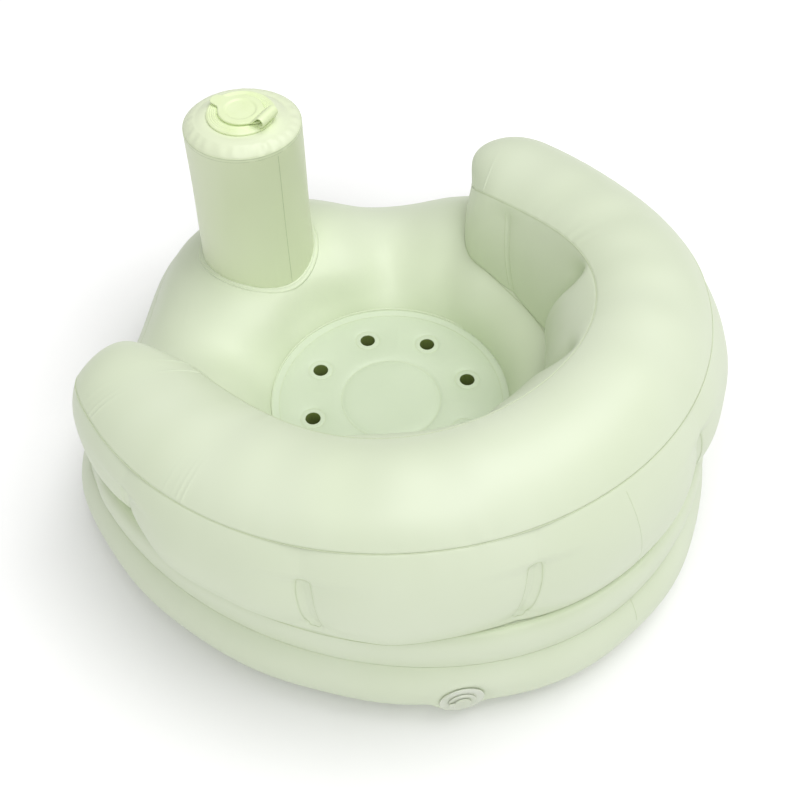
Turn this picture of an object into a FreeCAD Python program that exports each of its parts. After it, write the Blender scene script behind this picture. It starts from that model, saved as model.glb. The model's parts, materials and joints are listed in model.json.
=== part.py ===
"""Inflatable baby sofa: an air ring with a C-shaped backrest, a seat pad and a pump post.

Millimetres, +Z up. The origin is on the floor under the centre of the seat, the backrest is
towards +Y and the pump post towards -Y. An angle T is counted from the back (+Y) towards +X.
Each welded panel is a closed solid that reaches from its film to the middle of its air cell.
"""
import FreeCAD, Part
import math
import os

Vector = FreeCAD.Vector

# Welds and clearances
seam_gap = 0.4
clearance = 0.3
running_gap = 0.2
overrun = 5.0

# Base ring: the outer seam is a closed curve, a mean radius with three cosine terms
base_seam_radius = 256.5
base_seam_shift = -3.5
base_seam_oval = 7.5
base_seam_egg = 3.5
base_seam_height = 70.0
leg_dent_depth = 36.0
leg_dent_angle = 144.0
leg_dent_half_angle = 35.0
leg_dip_depth = 18.0
leg_dip_angle = 141.5
leg_dip_half_angle = 22.0
leg_dip_shoulder = 35.0
leg_dip_inner_fall = 16.0
leg_dip_inner_bow = 4.0
wall_bulge = 15.0
wall_bulge_height = 34.0
base_top_height = 110.0
outer_shoulder = 5.0
front_outer_shoulder = 30.0
front_shoulder_start_angle = 116.0
front_shoulder_run_angle = 25.0
inner_shoulder = 28.0
well_shares = (1.0, 0.85, 0.55, 0.0)
floor_inset_inner = 30.0
floor_inset_outer = 30.0
bottom_sheet_thickness = 0.8
base_section_angles = (0, 10, 20, 30, 40, 50, 60, 70, 80, 90, 100, 106, 112, 117, 122, 127,
                       132, 137, 142, 147, 152, 157, 162, 167, 172, 176, 180)

# Seat pad with its ring welds and drain holes
seat_opening_share = 0.3977
seat_weld_height = 56.0
seat_middle_height = 44.0
seat_underside_height = 31.0
seat_puff = 3.0
seat_weld_groove = 0.8
seat_groove_half_width = 1.5
seat_puff_run = 6.0
seat_edge_drop = 5.0
centre_weld_share = 0.4167
rim_weld_inset = 6.0
drain_circle_share = 0.6824
drain_hole_radius = 6.5
drain_weld_radius = 11.0
drain_count = 8
drain_first_angle = 22.5

# Backrest: two top seams, each a radius and a height as cosine terms, and two bottom welds
outer_seam_inset = 10.1
outer_seam_shift = -12.6
outer_seam_oval = 8.7
outer_seam_height = 186.7
outer_seam_rise = 23.1
outer_seam_bow = 4.2
backrest_width = 78.1
inner_seam_shift = -27.9
inner_seam_oval = 21.3
inner_seam_egg = -3.5
inner_seam_height = 188.1
inner_seam_rise = 38.8
inner_seam_bow = 3.1
inner_wall_lean = 16.0
outer_weld_inset = 6.0
crown_height = 20.0
outer_wall_bulge = 18.0
inner_wall_bulge = 14.0
tie_pinch_share = 0.5
wall_split_inset = 60.5
arm_end_angle = 119.0
arm_round_angle = 14.0
arm_tip_share = 0.35
arm_tip_height_share = 0.95
arm_round_shares = (0.0, 0.55, 0.85, 1.0)
tie_angles = (-92.0, -55.0, -17.0, 17.0, 55.0, 92.0)
tie_thickness = 0.5
tie_inset = 6.0
tie_foot = 10.0
spans_between_ties = 6

# Pump post
post_x = 4.0
post_setback = 76.5
post_radius = 49.5
post_wall = 1.0
post_height = 135.0
post_dome = 8.0
post_flat_radius = 38.0
dome_shares = (0.2, 0.6, 1.0)
foot_flange_width = 4.5
foot_flange_thickness = 1.0
sponge_gap = 2.0

# Pump outlet valve in the foot of the post
outlet_seat_radius = 22.0
outlet_seat_thickness = 3.0
outlet_bore_radius = 9.0
outlet_flap_radius = 12.0
outlet_flap_thickness = 0.8
outlet_pocket_radius = 17.0
outlet_pocket_depth = 22.0

# Intake valve on top of the post, with its cap and strap
intake_turn_angle = 18.5
intake_flange_radius = 28.0
intake_flange_thickness = 2.4
intake_ridge_radii = (22.6, 25.8)
intake_ridge_width = 1.2
intake_ridge_height = 0.7
intake_bore_radius = 12.2
intake_neck_wall = 3.0
intake_neck_depth = 6.0
cap_radius = 21.0
cap_thickness = 2.6
cap_dish_radius = 14.0
cap_dish_depth = 1.0
cap_skirt_radius = 11.7
cap_skirt_tip_radius = 10.8
cap_skirt_depth = 4.5
cap_tab_width = 13.0
cap_tab_reach = 34.0
cap_tab_thickness = 1.8
strap_width = 18.0
strap_thickness = 1.5
strap_bend_radius = 4.5
strap_root_distance = 25.5

# Inflation valve in the back wall of the base
valve_angle = 29.0
valve_height = 36.0
valve_sink = 3.7
collar_radius = 17.0
collar_thickness = 1.2
collar_bore_radius = 7.6
collar_wall = 2.3
collar_depth = 20.0
valve_pocket_depth = 32.0
stem_bore_radius = 4.8
stem_depth = 16.0
stem_rim_radius = 10.5
stem_rim_thickness = 1.2
plug_head_radius = 6.5
plug_head_thickness = 1.6
plug_radius = 4.5
plug_tip_radius = 3.7
plug_depth = 4.0
tether_width = 5.0
tether_thickness = 1.0
tether_pivot_distance = 10.0
stem_flap_radius = 5.6
stem_flap_thickness = 0.6

quarter_turn = 90.0
half_turn = 180.0
full_turn = 360.0
arc_share = math.sqrt(0.5)


def cosine_sum(angle, *terms):
    """A closed curve's value at an angle: a mean and cosine terms of rising order."""
    turn = math.radians(angle)
    return sum(term * math.cos(order * turn) for order, term in enumerate(terms))


def ease(value):
    """A smooth step from 0 to 1."""
    value = min(max(value, 0.0), 1.0)
    return value * value * (3.0 - 2.0 * value)


def hump(value):
    """A raised cosine, 1 at 0 and 0 from 1 on."""
    return (1.0 + math.cos(math.pi * min(abs(value), 1.0))) / 2.0


def round_share(share):
    """How far a quarter-round has turned in after a share of its height, from 0 to 1."""
    return 1.0 - math.sqrt(1.0 - share * share)


def from_back(angle):
    """An angle as its distance from the back, 0 to 180 degrees."""
    return abs((angle + half_turn) % full_turn - half_turn)


def at(angle, radius, height):
    """The point at an angle from the back, a radius from the seat's axis and a height."""
    turn = math.radians(angle)
    return Vector(radius * math.sin(turn), radius * math.cos(turn), height)


def line(angle, start, end):
    return Part.LineSegment(at(angle, *start), at(angle, *end)).toShape()


def arc(angle, start, middle, end):
    return Part.Arc(at(angle, *start), at(angle, *middle), at(angle, *end)).toShape()


def bowed(angle, start, end, sagitta):
    """An arc between two section points that stands out to the right of its chord, or a line."""
    if not sagitta:
        return line(angle, start, end)
    along_radius = end[0] - start[0]
    along_height = end[1] - start[1]
    chord = math.hypot(along_radius, along_height)
    middle = ((start[0] + end[0]) / 2.0 + sagitta * along_height / chord,
              (start[1] + end[1]) / 2.0 - sagitta * along_radius / chord)
    return arc(angle, start, middle, end)


def corner(angle, start, end, bend):
    """A quarter-oval arc from start to end, rounded about the corner at bend."""
    centre = (start[0] + end[0] - bend[0], start[1] + end[1] - bend[1])
    middle = (centre[0] + arc_share * (bend[0] - centre[0]),
              centre[1] + arc_share * (bend[1] - centre[1]))
    return arc(angle, start, middle, end)


def revolved(points, angle=full_turn):
    """A solid of revolution about Z of a closed outline of (radius, height) points."""
    outline = [Vector(radius, 0, height) for radius, height in points]
    face = Part.Face(Part.makePolygon(outline + outline[:1]))
    return face.revolve(Vector(0, 0, 0), Vector(0, 0, 1), angle)


def tube(outer, inner, low, high):
    """An upright tube, or a rod where inner is 0."""
    body = Part.makeCylinder(outer, high - low, Vector(0, 0, low))
    if inner:
        cut = Part.makeCylinder(inner, high - low + 2 * overrun, Vector(0, 0, low - overrun))
        body = body.cut(cut)
    return body


def base_seam(angle):
    """Radius of the base ring's outer seam, drawn in at the two leg dents."""
    plain = cosine_sum(angle, base_seam_radius, base_seam_shift, base_seam_oval, base_seam_egg)
    away = (from_back(angle) - leg_dent_angle) / leg_dent_half_angle
    return plain - leg_dent_depth * hump(away)


def base_section(angle):
    """The ring's outer section: bulged lower wall, and a top that rolls down at the leg dips."""
    round_front = ease((from_back(angle) - front_shoulder_start_angle) / front_shoulder_run_angle)
    dip = hump((from_back(angle) - leg_dip_angle) / leg_dip_half_angle)
    outer = outer_shoulder + (front_outer_shoulder - outer_shoulder) * round_front
    outer += leg_dip_shoulder * dip
    seam = (base_seam(angle), base_seam_height)
    widest = (seam[0] + wall_bulge, wall_bulge_height)
    floor_out = (seam[0] - floor_inset_outer, 0)
    top_out = (seam[0] - outer, base_top_height - leg_dip_depth * dip)
    core = seat_opening_radius / 2
    top_in = (core, top_out[1] - leg_dip_inner_fall * dip)
    below = -overrun
    edges = [
        line(angle, (core, below), (floor_out[0], below)),
        line(angle, (floor_out[0], below), floor_out),
        arc(angle, floor_out, widest, seam),
        corner(angle, seam, top_out, (seam[0], top_out[1])),
        bowed(angle, top_out, top_in, leg_dip_inner_bow * dip),
        line(angle, top_in, (core, below)),
    ]
    return Part.Wire(edges)


def seat_well():
    """What the ring's rounded inner wall leaves open: a waisted well through the ring."""
    points = [(0, -overrun), (seat_opening_radius + floor_inset_inner, -overrun)]
    for share in well_shares:
        points.append((seat_opening_radius + floor_inset_inner * round_share(share),
                       seat_weld_height * (1 - share)))
    for share in reversed(well_shares[:-1]):
        points.append((seat_opening_radius + inner_shoulder * round_share(share),
                       seat_weld_height + (base_top_height - seat_weld_height) * share))
    points.append((seat_opening_radius + inner_shoulder, base_top_height + overrun))
    points.append((0, base_top_height + overrun))
    return revolved(points)


def slab(low, high):
    """A block that holds everything between two heights."""
    reach = 2 * (base_seam_radius + base_seam_oval + wall_bulge + overrun)
    corner_point = Vector(-reach / 2, -reach / 2, low)
    return Part.makeBox(reach, reach, high - low, corner_point)


def valve_frame(shape):
    """Turn a shape made along +Z so that it points out of the base at the inflation valve."""
    shape = shape.copy()
    shape.rotate(Vector(0, 0, 0), Vector(1, 0, 0), -quarter_turn)
    shape.rotate(Vector(0, 0, 0), Vector(0, 0, 1), -valve_angle)
    shape.translate(at(valve_angle, valve_face, valve_height))
    return shape


def post_frame(shape):
    shape = shape.copy()
    shape.translate(Vector(post_x, post_y, post_foot))
    return shape


def intake_frame(shape):
    """Place a shape made with its tab towards -Y on top of the pump post."""
    shape = shape.copy()
    shape.rotate(Vector(0, 0, 0), Vector(0, 0, 1), intake_turn_angle)
    shape.translate(Vector(post_x, post_y, intake_face))
    return shape


# Radii, heights and faces that several pieces share
seat_opening_radius = base_seam_radius * seat_opening_share
centre_weld_radius = seat_opening_radius * centre_weld_share
rim_weld_radius = seat_opening_radius - rim_weld_inset
drain_circle_radius = seat_opening_radius * drain_circle_share
outer_seam_radius = base_seam_radius - outer_seam_inset
inner_seam_radius = outer_seam_radius - backrest_width
wall_split_radius = base_seam_radius - wall_split_inset
post_y = post_setback - base_seam_radius
post_foot = base_top_height
post_top_seam = post_foot + post_height
intake_face = post_top_seam + post_dome
valve_face = base_seam(valve_angle) + wall_bulge - valve_sink
collar_outside = collar_bore_radius + collar_wall
outlet_seat_top = post_foot + outlet_seat_thickness


def make_base():
    """Top panel, lower panel and bottom sheet, parted at the outer seam and at the floor."""
    left = [-angle for angle in reversed(base_section_angles[1:-1])]
    sections = [base_section(angle) for angle in list(base_section_angles) + left]
    ring = Part.makeLoft(sections, True, True, True).cut(seat_well())
    top = ring.common(slab(base_seam_height, base_top_height + overrun))
    pocket = tube(outlet_pocket_radius, 0, -outlet_pocket_depth, overrun)
    top = top.cut(post_frame(pocket))
    lower = ring.common(slab(bottom_sheet_thickness, base_seam_height))
    well = tube(collar_outside + clearance, 0, -valve_pocket_depth, overrun)
    flat = tube(collar_radius + clearance, 0, 0, valve_sink + overrun)
    lower = lower.cut(valve_frame(well)).cut(valve_frame(flat))
    bottom = ring.common(slab(0, bottom_sheet_thickness))
    return {"base_top_panel": top, "base_lower_panel": lower, "base_bottom_sheet": bottom}


def make_seat():
    """A pad of two sheets welded along two circles and round each drain hole."""
    edge = seat_opening_radius - clearance
    weld = seat_weld_height
    crown = weld + seat_puff
    half = seat_groove_half_width
    upper = [(0, seat_middle_height), (edge, seat_middle_height), (edge, weld)]
    for radius in (rim_weld_radius, centre_weld_radius):
        upper.append((radius + half, weld + seat_weld_groove))
        upper.append((radius, weld))
        upper.append((radius - half, weld + seat_weld_groove))
        upper.append((radius - half - seat_puff_run, crown))
        if radius == rim_weld_radius:
            upper.append((centre_weld_radius + half + seat_puff_run, crown))
    upper.append((0, crown))
    top = revolved(upper)
    depth = seat_middle_height - seat_underside_height
    lower = [(0, seat_middle_height), (edge, seat_middle_height),
             (edge, seat_middle_height - seat_edge_drop), (edge - depth, seat_underside_height),
             (0, seat_underside_height)]
    bottom = revolved(lower)
    eyelets = []
    for count in range(drain_count):
        place = at(drain_first_angle + count * full_turn / drain_count, drain_circle_radius, 0)
        hole = tube(drain_weld_radius + clearance, 0, 0, weld + seat_puff + overrun)
        hole.translate(place)
        top = top.cut(hole)
        bottom = bottom.cut(hole)
        eyelet = tube(drain_weld_radius, drain_hole_radius, seat_underside_height, weld)
        eyelet.translate(place)
        eyelets.append(eyelet)
    return {"seat_top_sheet": top, "seat_bottom_sheet": bottom,
            "drain_eyelets": Part.makeCompound(eyelets)}


def lobe(angle):
    """How far the backrest's walls swell: less at a tie than half-way between two."""
    gap = min(abs(angle - tie) for tie in tie_angles)
    half = (tie_angles[1] - tie_angles[0]) / 2
    return 1.0 - tie_pinch_share * hump(gap / half)


def backrest_section(angle):
    """Corner points of the backrest's section, drawn together where an arm ends."""
    outer_top = (cosine_sum(angle, outer_seam_radius, outer_seam_shift, outer_seam_oval),
                 cosine_sum(angle, outer_seam_height, outer_seam_rise, outer_seam_bow))
    inner_top = (cosine_sum(angle, inner_seam_radius, inner_seam_shift, inner_seam_oval,
                            inner_seam_egg),
                 cosine_sum(angle, inner_seam_height, inner_seam_rise, inner_seam_bow))
    outer_foot = (base_seam(angle) - outer_weld_inset, base_top_height)
    inner_foot = (inner_top[0] - inner_wall_lean, base_top_height)
    past = (from_back(angle) - arm_end_angle + arm_round_angle) / arm_round_angle
    past = min(max(past, 0.0), 1.0)
    share = arm_tip_share + (1.0 - arm_tip_share) * math.sqrt(1.0 - past * past)
    height_share = 1.0 - (1.0 - arm_tip_height_share) * past * past
    middle = (outer_foot[0] + inner_foot[0]) / 2
    points = [outer_foot, outer_top, inner_top, inner_foot]
    drawn = [(middle + share * (radius - middle),
              base_top_height + height_share * (height - base_top_height))
             for radius, height in points]
    return drawn, share


def shifted(point, along_radius, along_height):
    return (point[0] + along_radius, point[1] + along_height)


def crown_wire(angle):
    """Section of the top panel: its crown over the chord between the two top seams."""
    (_, outer, inner, _), share = backrest_section(angle)
    outer = shifted(outer, 0, seam_gap / 2)
    inner = shifted(inner, 0, seam_gap / 2)
    return Part.Wire([bowed(angle, outer, inner, crown_height * share),
                      line(angle, inner, outer)])


def walls_wire(angle):
    """Section of both walls below the top panel, run on past the foot."""
    (outer_foot, outer, inner, inner_foot), share = backrest_section(angle)
    outer = shifted(outer, 0, -seam_gap / 2)
    inner = shifted(inner, 0, -seam_gap / 2)
    outer_low = shifted(outer_foot, 0, -overrun)
    inner_low = shifted(inner_foot, 0, -overrun)
    swell = share * lobe(angle)
    return Part.Wire([bowed(angle, outer_foot, outer, outer_wall_bulge * swell),
                      line(angle, outer, inner),
                      bowed(angle, inner, inner_foot, inner_wall_bulge * swell),
                      line(angle, inner_foot, inner_low), line(angle, inner_low, outer_low),
                      line(angle, outer_low, outer_foot)])


def backrest_angles():
    """Angles of the backrest's sections: at the ties, between them and round the arm ends."""
    angles = []
    for start, end in zip(tie_angles, tie_angles[1:]):
        for count in range(spans_between_ties):
            angles.append(start + (end - start) * count / spans_between_ties)
    angles.append(tie_angles[-1])
    straight = arm_end_angle - arm_round_angle
    ends = [(tie_angles[-1] + straight) / 2]
    for share in arm_round_shares:
        ends.append(straight + arm_round_angle * share)
    return sorted([-angle for angle in ends] + angles + ends)


def make_backrest():
    """Top panel, outer wall and inner wall, and the ties between the two walls."""
    angles = backrest_angles()
    top = Part.makeLoft([crown_wire(angle) for angle in angles], True, True, False)
    walls = Part.makeLoft([walls_wire(angle) for angle in angles], True, True, False)
    highest = inner_seam_height + inner_seam_rise + inner_seam_bow + overrun
    walls = walls.common(slab(base_top_height, highest))
    core = tube(wall_split_radius - seam_gap / 2, 0, base_top_height - overrun, highest)
    inner = walls.common(core)
    outer = walls.cut(tube(wall_split_radius + seam_gap / 2, 0, base_top_height - overrun,
                           highest))
    pieces = {}
    for number, angle in enumerate(tie_angles, 1):
        (outer_foot, outer_top, inner_top, _), _ = backrest_section(angle)
        start = inner_top[0] + tie_inset
        length = min(outer_top[0], outer_foot[0]) - tie_inset - start
        foot = base_top_height + tie_foot
        height = min(outer_top[1], inner_top[1]) - tie_foot - foot
        sheet = Part.makeBox(tie_thickness, length, height,
                             Vector(-tie_thickness / 2, start, foot))
        slot = Part.makeBox(tie_thickness + 2 * clearance, length + 2 * clearance,
                            height + 2 * clearance,
                            Vector(-tie_thickness / 2 - clearance, start - clearance,
                                   foot - clearance))
        for shape in (sheet, slot):
            shape.rotate(Vector(0, 0, 0), Vector(0, 0, 1), -angle)
        outer = outer.cut(slot)
        inner = inner.cut(slot)
        pieces["backrest_tie_%d" % number] = sheet
    pieces.update({"backrest_top_panel": top, "backrest_outer_wall": outer,
                   "backrest_inner_wall": inner})
    return pieces


def make_post():
    """The pump post: sleeve, foot weld, top disc, and the sponge that springs it back."""
    sleeve = tube(post_radius, post_radius - post_wall, 0, post_height)
    flange_inner = post_radius + running_gap
    flange = tube(flange_inner + foot_flange_width, flange_inner, 0, foot_flange_thickness)
    low = post_height + clearance
    high = post_height + post_dome
    outline = [(0, high), (0, low), (post_radius, low)]
    for share in dome_shares:
        turn = math.radians(quarter_turn * share)
        outline.append((post_flat_radius + (post_radius - post_flat_radius) * math.cos(turn),
                        low + (high - low) * math.sin(turn)))
    disc = revolved(outline)
    neck_hole = intake_bore_radius + intake_neck_wall + running_gap
    disc = disc.cut(tube(neck_hole, 0, low - overrun, high + overrun))
    sponge_radius = post_radius - post_wall - sponge_gap
    sponge = tube(sponge_radius, 0, outlet_seat_thickness + clearance, post_height)
    seat = tube(outlet_seat_radius, outlet_bore_radius, 0, outlet_seat_thickness)
    flap_top = -clearance
    flap = tube(outlet_flap_radius, 0, flap_top - outlet_flap_thickness, flap_top)
    pieces = {"post_sleeve": sleeve, "post_foot_flange": flange, "post_top_disc": disc,
              "pump_sponge": sponge, "outlet_seat": seat, "outlet_flap": flap}
    return {name: post_frame(shape) for name, shape in pieces.items()}


def make_intake():
    """Intake valve: ridged flange with its neck, dished cap with a pull tab, and the strap."""
    top = intake_flange_thickness
    neck = intake_bore_radius + intake_neck_wall
    flange = tube(intake_flange_radius, intake_bore_radius, 0, top)
    flange = flange.fuse(tube(neck, intake_bore_radius, -intake_neck_depth, 0))
    for radius in intake_ridge_radii:
        ridge = tube(radius + intake_ridge_width / 2, radius - intake_ridge_width / 2,
                     0, top + intake_ridge_height)
        flange = flange.fuse(ridge)
    flange = flange.removeSplitter()
    seat = top + clearance
    cap = revolved([(0, seat - cap_skirt_depth), (cap_skirt_tip_radius, seat - cap_skirt_depth),
                    (cap_skirt_radius, seat), (cap_radius, seat),
                    (cap_radius, seat + cap_thickness),
                    (cap_dish_radius, seat + cap_thickness),
                    (cap_dish_radius - cap_dish_depth, seat + cap_thickness - cap_dish_depth),
                    (0, seat + cap_thickness - cap_dish_depth)])
    tab_low = seat + intake_ridge_height + clearance
    tab_straight = cap_tab_reach - cap_tab_width / 2
    tab = Part.makeBox(cap_tab_width, tab_straight - cap_dish_radius, cap_tab_thickness,
                       Vector(-cap_tab_width / 2, -tab_straight, tab_low))
    tip = tube(cap_tab_width / 2, 0, tab_low, tab_low + cap_tab_thickness)
    tip.translate(Vector(0, -tab_straight, 0))
    cap = cap.fuse(tab).fuse(tip).removeSplitter()
    pivot = strap_pivot_height()
    bend = Part.makeCylinder(strap_bend_radius, strap_width,
                             Vector(-strap_width / 2, strap_root_distance, pivot),
                             Vector(1, 0, 0))
    hollow = Part.makeCylinder(strap_bend_radius - strap_thickness, strap_width,
                               Vector(-strap_width / 2, strap_root_distance, pivot),
                               Vector(1, 0, 0))
    outside = Part.makeBox(strap_width, strap_bend_radius, 2 * strap_bend_radius,
                           Vector(-strap_width / 2, strap_root_distance,
                                  pivot - strap_bend_radius))
    strap = bend.cut(hollow).common(outside)
    upper = pivot + strap_bend_radius
    landing = seat + cap_thickness + clearance
    inner_end = cap_dish_radius + strap_thickness
    outline = [Vector(0, strap_root_distance, upper),
               Vector(0, strap_root_distance, upper - strap_thickness),
               Vector(0, inner_end, landing),
               Vector(0, inner_end, landing + strap_thickness)]
    face = Part.Face(Part.makePolygon(outline + outline[:1]))
    face.translate(Vector(-strap_width / 2, 0, 0))
    strap = strap.fuse(face.extrude(Vector(strap_width, 0, 0))).removeSplitter()
    pieces = {"intake_flange": flange, "intake_cap": cap, "cap_strap": strap}
    return {name: intake_frame(shape) for name, shape in pieces.items()}


def strap_pivot_height():
    """Height of the strap's bend above the flange's underside: it clears the ridges."""
    return intake_flange_thickness + intake_ridge_height + clearance + strap_bend_radius


def make_valve():
    """Inflation valve: welded collar, stem that pops out, plug on its tether, inner flap."""
    flange = tube(collar_radius, collar_bore_radius, 0, collar_thickness)
    collar = flange.fuse(tube(collar_outside, collar_bore_radius, -collar_depth, 0))
    collar = collar.removeSplitter()
    rim_low = collar_thickness + clearance
    rim_top = rim_low + stem_rim_thickness
    stem = tube(collar_bore_radius - running_gap, stem_bore_radius, -stem_depth, rim_top)
    stem = stem.fuse(tube(stem_rim_radius, stem_bore_radius, rim_low, rim_top)).removeSplitter()
    head_low = rim_top + clearance
    head_top = head_low + plug_head_thickness
    plug = revolved([(0, head_low - plug_depth), (plug_tip_radius, head_low - plug_depth),
                     (plug_radius, head_low), (plug_head_radius, head_low),
                     (plug_head_radius, head_top), (0, head_top)])
    tether_start = plug_head_radius + clearance
    tether_low = head_low + (plug_head_thickness - tether_thickness) / 2
    tether_reach = tether_pivot_distance - tether_start
    tether = Part.makeBox(tether_reach, tether_width, tether_thickness,
                          Vector(tether_start, -tether_width / 2, tether_low))
    knuckle = Part.makeCylinder(tether_thickness / 2, tether_width,
                                Vector(tether_pivot_distance, -tether_width / 2,
                                       tether_low + tether_thickness / 2), Vector(0, 1, 0))
    tether = tether.fuse(knuckle).removeSplitter()
    flap_top = -stem_depth - clearance
    flap = tube(stem_flap_radius, 0, flap_top - stem_flap_thickness, flap_top)
    pieces = {"valve_collar": collar, "valve_stem": stem, "valve_plug": plug,
              "plug_tether": tether, "stem_flap": flap}
    return {name: valve_frame(shape) for name, shape in pieces.items()}


def main():
    os.makedirs("parts", exist_ok=True)
    pieces = {}
    for make in (make_base, make_seat, make_backrest, make_post, make_intake, make_valve):
        pieces.update(make())
    for name, shape in pieces.items():
        solids = shape.Solids
        valid = all(solid.isValid() for solid in solids)
        print(name, len(solids), "solids, valid" if valid else "solids, NOT VALID",
              round(shape.Volume), "mm3")
        shape.exportStep("parts/%s.step" % name)


main()
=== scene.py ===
# %% [markdown]
# Inflatable baby sofa: a lesson in making air-filled film with numpy.
# The construction model gives every piece its place, so this file only dresses it. Each film
# panel is worked out as a surface of two parameters: the angle T round the seat, counted in
# degrees from the back (+Y) towards +X, and a share v that runs across the panel. Lengths in
# the formulas are millimetres, and are turned into metres when a mesh is made.

# %% The frame
import json
import math
import bmesh
import bpy
import numpy as np
from mathutils import Matrix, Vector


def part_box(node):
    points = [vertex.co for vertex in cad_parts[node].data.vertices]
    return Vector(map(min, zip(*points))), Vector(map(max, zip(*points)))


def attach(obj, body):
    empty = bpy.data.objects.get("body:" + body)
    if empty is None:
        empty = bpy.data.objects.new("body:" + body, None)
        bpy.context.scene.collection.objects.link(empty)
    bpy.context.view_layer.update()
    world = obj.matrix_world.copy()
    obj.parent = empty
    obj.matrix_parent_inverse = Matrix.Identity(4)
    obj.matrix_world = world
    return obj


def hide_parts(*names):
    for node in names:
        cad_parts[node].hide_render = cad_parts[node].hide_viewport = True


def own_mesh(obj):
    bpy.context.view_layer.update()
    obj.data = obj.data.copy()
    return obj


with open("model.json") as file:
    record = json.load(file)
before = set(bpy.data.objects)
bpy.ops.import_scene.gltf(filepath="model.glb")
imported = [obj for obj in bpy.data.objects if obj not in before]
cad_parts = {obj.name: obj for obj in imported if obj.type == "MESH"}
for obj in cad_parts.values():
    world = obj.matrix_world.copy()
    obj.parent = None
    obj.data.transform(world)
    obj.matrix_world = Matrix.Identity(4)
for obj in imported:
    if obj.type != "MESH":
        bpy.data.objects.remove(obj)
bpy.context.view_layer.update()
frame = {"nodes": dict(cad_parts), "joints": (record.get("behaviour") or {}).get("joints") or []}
nodes = frame["nodes"]
joints = {joint["name"]: joint for joint in frame["joints"]}
MM = 0.001


def node_box(node):
    """Lowest and highest corner of a construction node, in millimetres."""
    return [np.array(corner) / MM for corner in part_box(node)]


# %% [markdown]
# The camera comes first. Its place was worked out from the seat's circles, which look like
# ellipses in the photograph, and from the seams. It is given as a point, a sight line and a lens.

# %% Camera
EYE = np.array([389.6, 468.75, 832.4]) * MM
SIGHT = np.array([-0.4002, -0.4694, -0.7871])
SIDEWAYS = np.array([-0.7621, 0.6474, 0.0014])
SENSOR = 36.0
FOCAL_PX = 1145.9
FRAME_PX = 800.0


def new_object(name, data):
    """An object with this data, linked to the scene."""
    made = bpy.data.objects.new(name, data)
    bpy.context.scene.collection.objects.link(made)
    return made


def looking(place, back, sideways):
    """The matrix of a camera or lamp at a place, from the way behind it and the way to its right."""
    back = back / np.linalg.norm(back)
    right = sideways - back * (sideways @ back)
    right /= np.linalg.norm(right)
    matrix = np.eye(4)
    matrix[:3] = np.stack([right, np.cross(back, right), back, place], 1)
    return Matrix(matrix.tolist())


def place_camera():
    """A camera whose axes are the picture's right, the picture's up and away from the sight."""
    data = bpy.data.cameras.new("photo_camera")
    data.sensor_width = SENSOR
    data.lens = SENSOR * FOCAL_PX / FRAME_PX
    camera = new_object("photo_camera", data)
    camera.matrix_world = looking(EYE, -SIGHT, SIDEWAYS)
    bpy.context.scene.camera = camera
    return camera


print("camera: lens", round(place_camera().data.lens, 2), "mm")

# %% [markdown]
# A surface is an array of points with a row for each angle and a column for each share. The
# faces join neighbouring points, so one pattern of numbers serves every panel. Film has almost
# no thickness: a Solidify modifier gives each panel its wall, turned inwards, so that the outer
# face stays where the formula puts it. Points that fall together, at a pole or where two grids
# of one panel meet, are merged, so that no seam of the grid is left open.

# %% From a grid of points to a piece
FILM = 0.6
MERGE = 0.01
TINY = 1e-6


def grid_faces(rows, columns, round_rows, round_columns):
    """Quads between each grid point and its next neighbours, closed round where asked."""
    i, j = np.meshgrid(np.arange(rows - (not round_rows)), np.arange(columns - (not round_columns)),
                       indexing="ij")
    i2, j2 = (i + 1) % rows, (j + 1) % columns
    quads = [i * columns + j, i2 * columns + j, i2 * columns + j2, i * columns + j2]
    return np.stack(quads, -1).reshape(-1, 4)


def facing(points, faces, inside):
    """Positive where the faces point away from the inside points, summed over the whole grid."""
    corner = points[faces]
    normal = np.cross(corner[:, 2] - corner[:, 0], corner[:, 3] - corner[:, 1])
    return float(np.einsum("ij,ij->", normal, corner.mean(1) - inside[faces[:, 0]]))


def grid_part(points, inside, round_rows=False, round_columns=False):
    """A (rows, columns, 3) grid as (points, faces), turned to face away from inside."""
    rows, columns = points.shape[:2]
    faces = grid_faces(rows, columns, round_rows, round_columns)
    flat = points.reshape(-1, 3)
    if facing(flat, faces, np.broadcast_to(inside, points.shape).reshape(-1, 3)) < 0:
        faces = faces[:, ::-1]
    return flat, faces


def paint(piece, material):
    piece.data.materials.clear()
    piece.data.materials.append(material)


def make_piece(name, parts, body, stands_for, material, film=None):
    """One object from (points, faces) parts in millimetres, riding on a body for its CAD nodes."""
    starts = np.cumsum([0] + [len(points) for points, _ in parts])
    points = np.concatenate([points for points, _ in parts]) * MM
    faces = np.concatenate([faces + start for (_, faces), start in zip(parts, starts)])
    mesh = bpy.data.meshes.new(name)
    mesh.from_pydata(points, [], faces.tolist())
    shape = bmesh.new()
    shape.from_mesh(mesh)
    bmesh.ops.remove_doubles(shape, verts=shape.verts, dist=MERGE * MM)
    shape.to_mesh(mesh)
    shape.free()
    mesh.polygons.foreach_set("use_smooth", np.ones(len(mesh.polygons), bool))
    piece = new_object(name, mesh)
    if film:
        wall = piece.modifiers.new("film", "SOLIDIFY")
        wall.thickness = film * MM
        wall.offset = -1.0
    paint(piece, material)
    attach(piece, body)
    if stands_for:
        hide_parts(*stands_for)
    print(name, len(mesh.polygons), "faces")
    return piece


def film_piece(name, parts, node, material, body="sofa"):
    """A panel of film that takes the place of one construction node."""
    return make_piece(name, parts, body, [node], material, FILM)


def moulding(node, part, body, slot, material):
    """A moulded piece that takes the place of the node it is named after."""
    return make_piece(node + "_moulding", [part], body, [node], material)


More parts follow.
